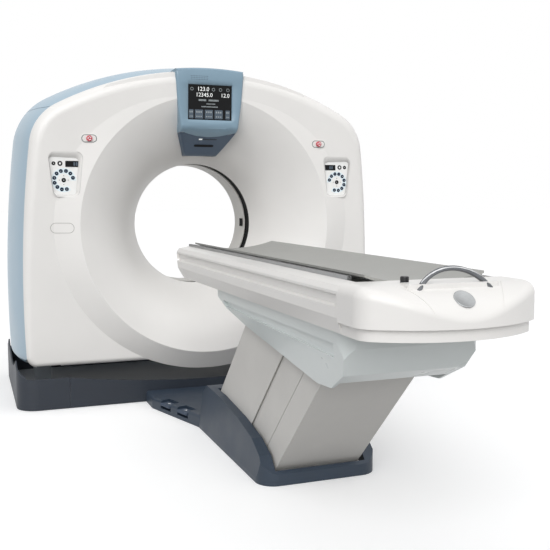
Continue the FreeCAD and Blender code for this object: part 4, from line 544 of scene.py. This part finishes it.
class SCANNER_OT_covers(bpy.types.Operator):
    """Paint the gantry's and the table's large covers"""
    bl_idname = "scanner.covers"
    bl_label = "Paint covers"

    def execute(self, context):
        dress("white_paint", "front_cover", "front_funnel", "rear_cover", "rear_funnel", "service_plate",
              "table_side_covers", "table_head_cover", "table_foot_cap")
        dress("blue_paint", "side_covers", "top_cover")
        dress("base_plastic", "base_cover_ends", "base_cover_sides", "bottom_pan")
        dress("table_base_plastic", "table_base_cover", "pedal_housing")
        dress("skirt_paint", "table_skirt")
        dress("pedestal_coat", "pedestal_cover_head", "pedestal_panels", "pedestal_cover_foot")
        soften(8 * MM, 3, "table_base_cover", "pedal_housing", "base_cover_ends", "base_cover_sides")
        soften(2.5 * MM, 2, "pedestal_cover_head", "pedestal_panels", "pedestal_cover_foot")
        self.plate_seam()
        return {"FINISHED"}

    def plate_seam(self):
        """The fine seam round the flush service plate, laid on the cover's curve. It is 0.3 mm wide and drawn
        2.6 mm wide, so that it shows."""
        low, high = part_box("service_plate")
        skin = surface_of("service_plate", "front_cover")
        line, rows = bmesh.new(), []
        middle = ((low.x + high.x) / 2, (low.z + high.z) / 2)
        for offset in (-1.3 * MM, 1.3 * MM):
            wide, tall = high.x - low.x + 2 * offset, high.z - low.z + 2 * offset
            row = []
            for x, z in rounded(wide, tall, tall * 0.49, 12, middle):
                spot, normal = front_hit(skin, x, z)
                row.append(line.verts.new(spot + normal * 0.6 * MM))
            rows.append(row)
        strips(line, rows, closed=True)
        piece("service_plate_seam", line, "seam_shadow")


class SCANNER_OT_inside(bpy.types.Operator):
    """Finish the machine inside the covers: frame, rotor, drive and lift"""
    bl_idname = "scanner.inside"
    bl_label = "Finish the inside"

    def execute(self, context):
        dress("frame_enamel", "gantry_floor_plate", "tilt_pillars", "tilt_frame", "rotor_disc",
              "high_voltage_tank", "table_floor_frame", "lift_arm_front", "lift_arm_rear", "table_carriage")
        dress("ground_steel", "bearing_inner_race", "bearing_outer_race", "balance_weight", "motor_pulley",
              "collimator", "detector_arc")
        dress("ring_brass", "slip_ring", "trunnion_bushes")
        dress("motor_paint", "tilt_motor", "drive_motor", "lift_motor", "brush_block", "xray_tube")
        dress("belt_rubber", "drive_belt")
        return {"FINISHED"}


class SCANNER_OT_bore(bpy.types.Operator):
    """Finish the scan window, the liner and the laser's window"""
    bl_idname = "scanner.bore"
    bl_label = "Finish the bore"

    def execute(self, context):
        dress("window_film", "scan_window", "laser_window")
        dress("liner_plastic", "tunnel_liner")
        self.laser_pane()
        return {"FINISHED"}

    def laser_pane(self):
        """The dark pane round the positioning laser's window, which follows the liner's curve."""
        low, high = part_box("laser_window")
        radius, half = high.x - 4 * MM, (high.z - low.z) / 2 + 1 * MM
        pane, rows = bmesh.new(), []
        for i in range(9):
            angle = math.asin(half / radius) * (i / 4 - 1)
            x, z = radius * math.cos(angle), ISO.z + radius * math.sin(angle)
            rows.append([pane.verts.new((x, y, z)) for y in (low.y - 18 * MM, high.y + 14 * MM)])
        strips(pane, rows)
        piece("laser_pane", pane, "window_film")


class SCANNER_OT_display(bpy.types.Operator):
    """Finish the display housing and draw what its screen shows"""
    bl_idname = "scanner.display"
    bl_label = "Display"

    def execute(self, context):
        dress("housing_paint", "display_housing")
        dress("slate_paint", "display_foot_cover")
        dress("screen_glass", "display_screen")
        shroud("display_shroud", upper_lines(), "housing_paint")
        shroud("display_foot_shroud", lower_lines(), "slate_paint")
        centre, facing = front_plane("display_screen")
        flat = face_frame(centre, facing)
        lift = 0.4 * MM
        screen_figures(flat, lift)
        screen_fields(flat, lift)
        speaker_holes(context.scene.scanner_sizes.speaker_hole)
        foot_fittings()
        return {"FINISHED"}


def between(points, at):
    """The value at a place on a line through (place, value) points, carried on past its ends."""
    for (a, low), (b, high) in zip(points, points[1:]):
        if at <= b:
            break
    return low + (high - low) * (at - a) / (b - a)


def seam_level(x):
    """The level of the hanging seam between the display's two mouldings."""
    return 1.497 + 1.02 * x * x


def blend(low, high, share):
    """A line's level by x, at a share of the way from one level by x to another."""
    return lambda x: low(x) + (high(x) - low(x)) * share


def lower_lines():
    """The foot moulding's lines, from its lip up to the seam. Each is a level by x, how far it stands out and
    whether it lies beside the screen."""
    lip, top = (lambda x: SHROUD_FOOT), (lambda x: seam_level(x) - HALF_SEAM)
    lines = [(lip, -14 * MM, False)]
    for share in (0, 0.15, 0.3, 0.45, 0.6, 0.8, 1):
        lines.append((blend(lip, top, share), SHROUD_PROUD, False))
    return lines


def upper_lines():
    """The main moulding's lines from the seam, past the screen, to the arch on top."""
    skin = surface_of("display_housing")
    side, y = 0.17, -0.425
    crown, shoulder = (skin.ray_cast(Vector((x, y, 2.5)), Vector((0, 0, -1)))[0].z for x in (0, side))
    sag = (crown - shoulder) / side ** 2
    seam, below = (lambda x: seam_level(x) + HALF_SEAM), (lambda x: SCREEN_LOW - SCREEN_RIM)
    above, arch = (lambda x: SCREEN_HIGH + SCREEN_RIM), (lambda x: crown - 15 * MM - sag * x * x)
    lines = [(blend(seam, below, share), SHROUD_PROUD, False) for share in (0, 0.2, 0.4, 0.6, 0.8, 1)]
    for level in (SCREEN_LOW, 1.64, 1.69, 1.74, SCREEN_HIGH):
        lines.append((lambda x, z=level: z, SHROUD_PROUD, True))
    for share, proud in ((0, SHROUD_PROUD), (0.35, SHROUD_PROUD), (0.7, SHROUD_PROUD), (1, 0.3 * MM)):
        lines.append((blend(above, arch, share), proud, False))
    return lines


def shroud(name, lines, material):
    """A moulding of the display: nearly upright sides with rounded front edges, laid over the housing's face
    and run back to the cover behind, with a bevelled opening round the screen."""
    behind = surface_of("front_cover", "front_funnel")
    shape = bmesh.new()
    rows = []
    rim = SCREEN_HALF + SCREEN_RIM
    for level_at, proud, beside_screen in lines:
        wide = between(SHROUD_WIDTHS, level_at(0.16))
        sides = []
        for side in (-1, 1):
            x = side * (wide - SHROUD_EDGE)
            level = level_at(x)
            front = between(DISPLAY_FACE, level) - proud
            hit, _ = front_hit(behind, side * (wide + 2 * MM), level)
            back = max(front + SHROUD_EDGE + 1 * MM, hit.y + 5 * MM if hit else 0)
            spots = [(side * wide, back, level)]
            for turn in (0, 22, 45, 68, 90):
                out, ahead = math.cos(math.radians(turn)), math.sin(math.radians(turn))
                spots.append((x + side * SHROUD_EDGE * out, front + SHROUD_EDGE * (1 - ahead), level))
            sides.append(spots)
        middle = []
        for x in (-rim, -SCREEN_HALF, -0.065, 0, 0.065, SCREEN_HALF, rim):
            sunk = 6 * MM if beside_screen and abs(x) <= SCREEN_HALF else 0
            x *= min(1, (wide - SHROUD_EDGE - 1 * MM) / rim)
            middle.append((x, between(DISPLAY_FACE, level_at(x)) - proud + sunk, level_at(x)))
        rows.append([shape.verts.new(spot) for spot in sides[0] + middle + sides[1][::-1]])
    # A side has six points, so the screen's opening runs from the second of the middle's seven to the sixth.
    opening = range(7, 11)
    for i, (a, b) in enumerate(zip(rows, rows[1:])):
        for k in range(len(a) - 1):
            if not (lines[i][2] and lines[i + 1][2] and k in opening):
                shape.faces.new((a[k], a[k + 1], b[k + 1], b[k]))
    bmesh.ops.delete(shape, geom=[v for v in shape.verts if not v.link_faces], context="VERTS")
    piece(name, shape, material)


def screen_figures(flat, lift):
    """The rows of plain figures in the upper part of the screen."""
    rows = (("123.0", 0.032, (-0.040, 0.073)), ("12345.0", 0.031, (-0.034, 0.041)),
            ("12.0", 0.031, (0.090, 0.041)))
    for number, (text, high, place) in enumerate(rows):
        piece("screen_figures_%d" % number, figures(text, high, flat, place, lift), "lit_figure",
              smooth=False)


def screen_fields(flat, lift):
    """Unlettered rows and touch fields below the figures."""
    rows = bmesh.new()
    for y, high, spans in ((0.012, 0.0105, ((-0.066, -0.018), (-0.008, 0.052))),
                           (-0.008, 0.006, ((-0.020, 0.030),)), (-0.024, 0.006, ((-0.050, 0.050),))):
        for start, end in spans:
            x = start
            while x < end - 4 * MM:
                slab(rows, raised(flat, lift), rounded(5.2 * MM, high, 1 * MM, 2, (x + 3 * MM, y)), 0.2 * MM)
                x += 7.5 * MM
    piece("screen_rows", rows, "lit_text", smooth=False)
    fields, marks, thick = bmesh.new(), bmesh.new(), 0.3 * MM
    for x, wide in ((-0.110, 0.026), (-0.064, 0.048), (-0.006, 0.048), (0.052, 0.048), (0.106, 0.026)):
        slab(fields, raised(flat, lift), rounded(wide, 50 * MM, 3 * MM, 3, (x, -0.066)), thick)
        for y, high in ((-0.054, 0.010), (-0.079, 0.006)):
            for k in (-1, 0, 1):
                mark = rounded(wide * 0.15, high, 1.2 * MM, 2, (x + k * wide * 0.26, y))
                slab(marks, raised(flat, lift + thick), mark, 0.2 * MM)
    piece("screen_fields", fields, "field_print", smooth=False)
    piece("screen_field_marks", marks, "lit_text", smooth=False)
    signs, radius, steps = bmesh.new(), 8 * MM, 20
    angles = [2 * math.pi * i / steps for i in range(steps)]
    for x in (-0.106, 0.020, 0.062, 0.106):
        circle = [(x + radius * math.cos(angle), 0.073 + radius * math.sin(angle)) for angle in angles]
        ring_strip(signs, raised(flat, lift), circle, 2.2 * MM, 0.2 * MM)
    piece("screen_signs", signs, "lit_text", smooth=False)


def speaker_holes(radius):
    """The speaker's three rows of eleven small holes, over the left half of the screen, drawn as black discs:
    painted shade in the holes.
    """
    skin = surface_of("display_housing")
    holes = bmesh.new()
    profile = [(radius, SHROUD_PROUD + 0.3 * MM), (0, SHROUD_PROUD + 0.25 * MM)]
    for row in range(3):
        for column in range(11):
            spot, normal = front_hit(skin, SPEAKER_X + PITCH * column, SPEAKER_Z + PITCH * row)
            if spot:
                turned_disc(holes, face_frame(spot, normal), (0, 0), profile, 10)
    piece("speaker_holes", holes, "black_plastic_and_hole_shade", smooth=False)


def foot_fittings():
    """The signal lamp and the media slot in the display's foot. The slot is drawn as a black plate, painted
    shade in its opening.
    """
    skin = surface_of("display_foot_cover")
    # The slot's black plate is painted shade in the opening.
    cases = (("slot_in_display_foot", -0.004, 1.455, 0.118, 0.020, "dark_key_and_slot_shade", 0.6),
             ("lamp_strip", 0.010, 1.489, 0.105, 0.006, "black_plastic_and_hole_shade", 0.5),
             ("signal_lamp", -0.036, 1.489, 0.022, 0.011, "lit_figure", 1.2))
    for name, x, z, wide, high, material, thick in cases:
        spot, normal = front_hit(skin, x, z)
        shape = bmesh.new()
        slab(shape, face_frame(spot + normal * SHROUD_PROUD, normal), rounded(wide, high, high * 0.48, 5),
             thick * MM, 0.3 * MM)
        piece(name, shape, material, smooth=False)


class SCANNER_OT_keypads(bpy.types.Operator):
    """Fit the round keys and small displays of the two control panels"""
    bl_idname = "scanner.keypads"
    bl_label = "Control panels"

    def execute(self, context):
        sizes = context.scene.scanner_sizes
        dress("keypad_foil", "control_panels")
        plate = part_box("control_panels")[0].y
        self.surrounds(plate)
        for side, end in SIDES:
            flat = face_frame((side * RING_X, plate, RING_Z), (0, -1, 0))
            self.key_ring(flat, side, end, sizes)
            self.top_row(flat, side, end, sizes)
        return {"FINISHED"}

    def surrounds(self, plate):
        """Sloping walls from each recess's edge to its key plate, widest at the top and towards the bore."""
        skin = surface_of("front_cover")
        reach = 0.14
        low, high = (front_hit(skin, PANEL_X, PANEL_Z + way * reach)[0] for way in (-1, 1))
        lean = (high.y - low.y) / (2 * reach)
        # Both outlines run from the recess's middle, first towards the bore and then up.
        rim = eased([(-0.068, -0.122), (0.068, -0.122), (0.095, 0.122), (-0.095, 0.122)], 0.0335)
        foot = eased([(-0.0655, -0.111), (0.052, -0.111), (0.071, 0.088), (-0.092, 0.094)], 0.020)
        for side, end in SIDES:
            wall = bmesh.new()
            rows = []
            for share in (0, 0.12, 0.4, 0.75, 1):
                row = []
                for (u, v), (s, t) in zip(rim, foot):
                    z = PANEL_Z + v + (t - v) * share
                    face = low.y + lean * (v + reach) + 0.4 * MM
                    y = face + (plate - 0.5 * MM - face) * share ** 1.6
                    row.append(wall.verts.new((side * (PANEL_X - u - (s - u) * share), y, z)))
                rows.append(row)
            for a, b in zip(rows, rows[1:]):
                for i in range(len(rim)):
                    after = (i + 1) % len(rim)
                    corners = (a[i], b[i], b[after], a[after])
                    wall.faces.new(corners if side > 0 else corners[::-1])
            piece("panel_surround_" + end, wall, "painted_recess_shade")

    def key_ring(self, flat, side, end, sizes):
        """Ten blue keys on a pale band and the centre key with its four arrows."""
        reach, radius, tall = sizes.key_ring, sizes.key_radius, sizes.key_height
        band = bmesh.new()
        first, last = (-2, 305) if side < 0 else (182, -125)
        outline = arc_band(reach - radius - 4 * MM, reach + radius + 4 * MM, first, last)
        slab(band, flat, outline if side < 0 else outline[::-1], 0.3 * MM)
        piece("key_band_" + end, band, "pale_print", smooth=False)
        keys, dots = bmesh.new(), bmesh.new()
        for number in range(10):
            angle = math.radians(FIRST_KEY + KEY_STEP * number)
            spot = (-side * reach * math.cos(angle), reach * math.sin(angle))
            turned_disc(keys, flat, spot, key_profile(radius, tall, 0.3 * MM), 28)
            turned_disc(dots, flat, spot, [(radius * 0.16, tall), (0, tall + 0.1 * MM)], 12)
        piece("blue_keys_" + end, keys, "key_rubber")
        middle = bmesh.new()
        turned_disc(middle, flat, (0, 0), key_profile(radius * 1.15, tall * 1.3, 0.3 * MM), 32)
        piece("centre_key_" + end, middle, "dark_key_and_slot_shade")
        turned_disc(dots, flat, (0, 0), [(radius * 0.2, tall * 1.3), (0, tall * 1.3 + 0.1 * MM)], 16)
        piece("key_marks_" + end, dots, "white_print", smooth=False)
        arrows = bmesh.new()
        for quarter in range(4):
            turn = Matrix.Rotation(quarter * math.pi / 2, 4, "Z")
            slab(arrows, flat @ turn, [(-0.0035, 0.0215), (0.0035, 0.0215), (0, 0.0275)], 0.3 * MM)
        piece("key_arrows_" + end, arrows, "grey_print", smooth=False)

    def top_row(self, flat, side, end, sizes):
        """A small read-out and two round buttons over the key ring. The read-out lies towards the bore."""
        tall = sizes.key_height
        out = -side
        read_out, lit = bmesh.new(), bmesh.new()
        slab(read_out, flat, rounded(78 * MM, 33 * MM, 3 * MM, 3, (out * 0.049, 0.088)), tall, 0.5 * MM)
        piece("read_out_" + end, read_out, "screen_glass", smooth=False)
        for k in range(2):
            place = (out * 0.052 + 0.013 * k + 0.006, 0.088)
            slab(lit, raised(flat, tall), rounded(9 * MM, 19 * MM, 2 * MM, 2, place), 0.2 * MM)
        piece("read_out_figures_" + end, lit, "field_print", smooth=False)
        buttons, caps = bmesh.new(), bmesh.new()
        for place, radius, cap in ((-0.052, 0.0105, 0.2), (-0.018, 0.0135, 0.42)):
            turned_disc(buttons, flat, (out * place, 0.090), key_profile(radius, tall, 0.2 * MM), 28)
            turned_disc(caps, flat, (out * place, 0.090), [(radius * cap, tall), (0, tall + 0.1 * MM)], 16)
        piece("round_buttons_" + end, buttons, "dark_key_and_slot_shade")
        piece("button_marks_" + end, caps, "white_print", smooth=False)


class SCANNER_OT_stops(bpy.types.Operator):
    """Finish the emergency stops: white pill, grey outline, red button"""
    bl_idname = "scanner.stops"
    bl_label = "Stop buttons"

    def execute(self, context):
        dress("bezel_plastic", "stop_bezels")
        dress("stop_plastic", "stop_button_left", "stop_button_right")
        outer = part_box("stop_bezels")[1].x
        face = surface_of("stop_bezels")
        for side, end in SIDES:
            x = side * (outer - 42 * MM)
            spot, normal = front_hit(face, x - 28 * MM, STOP_LEVEL)
            if spot is None:
                raise RuntimeError("the stop bezel was not found")
            flat = face_frame(Vector((x, spot.y, STOP_LEVEL)), normal)
            line = bmesh.new()
            ring_strip(line, flat, rounded(79 * MM, 39 * MM, 19 * MM, 10), 4.2 * MM, 0.5 * MM)
            piece("stop_outline_" + end, line, "grey_print")
            self.button_mark(end)
        return {"FINISHED"}

    def button_mark(self, end):
        """A white ring round the button's top, as an emergency stop's turning arrows are."""
        low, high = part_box("stop_button_" + end)
        flat = face_frame(((low.x + high.x) / 2, low.y, (low.z + high.z) / 2), (0, -1, 0))
        mark = bmesh.new()
        for third in range(3):
            start = 120 * third + 12
            slab(mark, flat, arc_band(5.8 * MM, 9.8 * MM, start, start + 84, 10), 0.25 * MM)
        piece("stop_mark_" + end, mark, "white_print", "stop_" + end, smooth=False)


class SCANNER_OT_table_top(bpy.types.Operator):
    """Finish the cradle, rails, handle and knob of the table top"""
    bl_idname = "scanner.table_top"
    bl_label = "Table top"

    def execute(self, context):
        dress("cradle_board", "cradle")
        dress("anodised", "accessory_rails")
        dress("handle_steel", "grab_handle")
        dress("black_plastic_and_hole_shade", "latch_knob")
        self.highlight_strip()
        self.plain_disc(context.scene.scanner_sizes.badge_radius)
        return {"FINISHED"}

    def highlight_strip(self):
        """A polished strip along the upper front of the handle's tube: a painted highlight where the tube
        catches the light.
        """
        low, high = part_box("grab_handle")
        skin = surface_of("grab_handle")
        strip, rows = bmesh.new(), []
        half, middle, drop = (high.x - low.x) / 2 - 14 * MM, (low.y + high.y) / 2, high.z - low.z - 30 * MM
        for i in range(41):
            x = half * (i / 20 - 1)
            level = high.z - 8 * MM - drop * (x / half) ** 2 * 0.55
            row = []
            for turn in (-62, -50, -38, -26):
                aim = Vector((0, math.cos(math.radians(turn)), math.sin(math.radians(turn))))
                spot, normal, _, _ = skin.find_nearest(Vector((x, middle, level)) - aim * 20 * MM)
                row.append(strip.verts.new(spot + normal * 0.5 * MM))
            rows.append(row)
        strips(strip, rows, flip=True)
        piece("handle_painted_highlight", strip, "polished", "table_top")

    def plain_disc(self, radius):
        """A bare disc with a rolled rim, set on the sloping end of the cap."""
        skin = surface_of("table_foot_cap")
        spot, normal, _, _ = skin.ray_cast(Vector((0, DISC_Y, 2)), Vector((0, 0, -1)))
        flat = face_frame(spot, normal, up=(0, 1, 0))
        shape = bmesh.new()
        face, rim = 1.6 * MM, 2.2 * MM
        turned_disc(shape, flat, (0, 0), [(radius, 0), (radius, face), (radius - 1 * MM, rim),
                                          (radius - 3 * MM, rim), (radius - 4 * MM, face), (0, face)], 64)
        piece("plain_end_disc", shape, "badge_metal", "table_top")


class SCANNER_OT_pedals(bpy.types.Operator):
    """Finish the four foot pedals and mark which way each moves the table"""
    bl_idname = "scanner.pedals"
    bl_label = "Pedals"

    def execute(self, context):
        bodies = {"pedal_up_left": "pedal_ul", "pedal_down_left": "pedal_dl", "pedal_up_right": "pedal_ur",
                  "pedal_down_right": "pedal_dr"}
        dress("pedal_rubber", *bodies)
        for name, body in bodies.items():
            low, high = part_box(name)
            flat = face_frame(((low.x + high.x) / 2, (low.y + high.y) / 2, high.z), (0, 0, 1), up=(0, 1, 0))
            mark = bmesh.new()
            tip = 10 * MM if "up" in name else -10 * MM
            points = [(-9 * MM, -tip * 0.6), (9 * MM, -tip * 0.6), (0, tip)]
            slab(mark, flat, points if tip > 0 else points[::-1], 0.3 * MM)
            piece(name + "_arrow", mark, "white_print", body, smooth=False)
        return {"FINISHED"}


def any_ray(tree, first, *others):
    """A node whose value is 1 for rays of any of these kinds and 0 for all others."""
    rays = add(tree, "ShaderNodeLightPath")
    found = (rays, first)
    for kind in others:
        found = (add(tree, "ShaderNodeMath", links={0: found, 1: (rays, kind)}, operation="MAXIMUM"), "Value")
    return found[0]


class SCANNER_OT_studio(bpy.types.Operator):
    """Set the pale floor, the soft lights and the camera"""
    bl_idname = "scanner.studio"
    bl_label = "Studio"

    def execute(self, context):
        settings = context.scene.scanner_studio
        self.floor()
        self.room(settings.sky)
        self.lamp("key", (58, 0, -28), settings.key_light, 50)
        self.lamp("fill", (62, 0, 55), settings.fill_light, 70)
        self.lamp("top", (8, 0, 0), 0.55, 80)
        self.camera(settings.lens)
        context.scene.view_settings.view_transform = "Standard"
        return {"FINISHED"}

    def floor(self):
        """A wide floor that is white to the camera and keeps the scanner's shadow."""
        mesh = bpy.data.meshes.new("floor")
        reach, level = 60, -0.5 * MM
        corners = [(x * reach, y * reach, level) for x, y in ((-1, -1), (1, -1), (1, 1), (-1, 1))]
        mesh.from_pydata(corners, [], [(0, 1, 2, 3)])
        floor = bpy.data.objects.new("floor", mesh)
        bpy.context.scene.collection.objects.link(floor)
        material, tree = blank("pale_studio_floor")
        seen = any_ray(tree, "Is Camera Ray", "Is Glossy Ray")
        grain = add(tree, "ShaderNodeTexNoise", {"Scale": 6.0, "Detail": 4.0})
        pale = add(tree, "ShaderNodeMix", {"A": (0.93, 0.93, 0.93, 1), "B": (0.96, 0.96, 0.96, 1)},
                   {"Factor": (grain, "Fac")}, data_type="RGBA")
        tone = add(tree, "ShaderNodeMix", {"A": (0.42, 0.42, 0.42, 1)},
                   {"Factor": (seen, "Value"), "B": (pale, "Result")}, data_type="RGBA")
        shader = add(tree, "ShaderNodeBsdfDiffuse", links={"Color": (tone, "Result")})
        lift = add(tree, "ShaderNodeMath", {1: 0.16}, {0: (seen, "Value")}, operation="MULTIPLY")
        glow = add(tree, "ShaderNodeEmission", {"Color": (1, 1, 1, 1)}, {"Strength": (lift, "Value")})
        both = add(tree, "ShaderNodeAddShader", links={0: (shader, "BSDF"), 1: (glow, "Emission")})
        add(tree, "ShaderNodeOutputMaterial", links={"Surface": (both, "Shader")})
        mesh.materials.append(material)

    def room(self, strength):
        """Even light from all round, and a white background."""
        world = bpy.data.worlds.new("studio_room")
        bpy.context.scene.world = world
        world.use_nodes = True
        tree = world.node_tree
        tree.nodes.clear()
        seen = any_ray(tree, "Is Camera Ray", "Is Glossy Ray", "Is Transmission Ray")
        dim = add(tree, "ShaderNodeBackground", {"Color": (0.97, 0.98, 1, 1), "Strength": strength})
        bright = add(tree, "ShaderNodeBackground", {"Color": (1, 1, 1, 1), "Strength": 1.0})
        both = add(tree, "ShaderNodeMixShader", links={0: (seen, "Value"), 1: (dim, "Background"),
                                                       2: (bright, "Background")})
        add(tree, "ShaderNodeOutputWorld", links={"Surface": (both, "Shader")})

    def lamp(self, name, turn, strength, spread):
        """A very wide, soft light far away, turned by degrees about x and then z."""
        data = bpy.data.lights.new("studio_" + name, "SUN")
        data.energy = strength
        data.angle = math.radians(spread)
        lamp = bpy.data.objects.new("studio_" + name, data)
        lamp.rotation_euler = [math.radians(a) for a in turn]
        bpy.context.scene.collection.objects.link(lamp)

    def camera(self, lens):
        """Eye height beside the table's foot, turned towards the gantry."""
        data = bpy.data.cameras.new("camera")
        data.sensor_width = 36
        data.lens = lens
        camera = bpy.data.objects.new("camera", data)
        camera.location = (-1.325, -4.969, 1.147)
        camera.rotation_euler = (math.radians(84.6), 0, math.radians(-20.8))
        bpy.context.scene.collection.objects.link(camera)
        bpy.context.scene.camera = camera


class SCANNER_PT_panel(bpy.types.Panel):
    """Lists the scanner's steps and settings"""
    bl_idname = "SCANNER_PT_panel"
    bl_label = "CT scanner"
    bl_space_type = "VIEW_3D"
    bl_region_type = "UI"
    bl_category = "Scanner"

    def draw(self, context):
        for step in STEPS:
            self.layout.operator(step.bl_idname)
        for name, group in GROUPS.items():
            column = self.layout.column()
            for setting in group.__annotations__:
                column.prop(getattr(context.scene, name), setting)


STEPS = (SCANNER_OT_covers, SCANNER_OT_inside, SCANNER_OT_bore, SCANNER_OT_display, SCANNER_OT_keypads,
         SCANNER_OT_stops, SCANNER_OT_table_top, SCANNER_OT_pedals, SCANNER_OT_studio)
GROUPS = {"scanner_colours": ScannerColours, "scanner_sizes": ScannerSizes, "scanner_studio": ScannerStudio}
CLASSES = (*GROUPS.values(), *STEPS, SCANNER_PT_panel)


def register():
    for item in CLASSES:
        bpy.utils.register_class(item)
    for name, group in GROUPS.items():
        setattr(bpy.types.Scene, name, bpy.props.PointerProperty(type=group))


def unregister():
    for name in GROUPS:
        delattr(bpy.types.Scene, name)
    for item in reversed(CLASSES):
        bpy.utils.unregister_class(item)


def main():
    """Builds everything in order."""
    register()
    bpy.ops.scanner.covers()
    bpy.ops.scanner.inside()
    bpy.ops.scanner.bore()
    bpy.ops.scanner.display()
    bpy.ops.scanner.keypads()
    bpy.ops.scanner.stops()
    bpy.ops.scanner.table_top()
    bpy.ops.scanner.pedals()
    bpy.ops.scanner.studio()


if __name__ == "__main__":
    main()
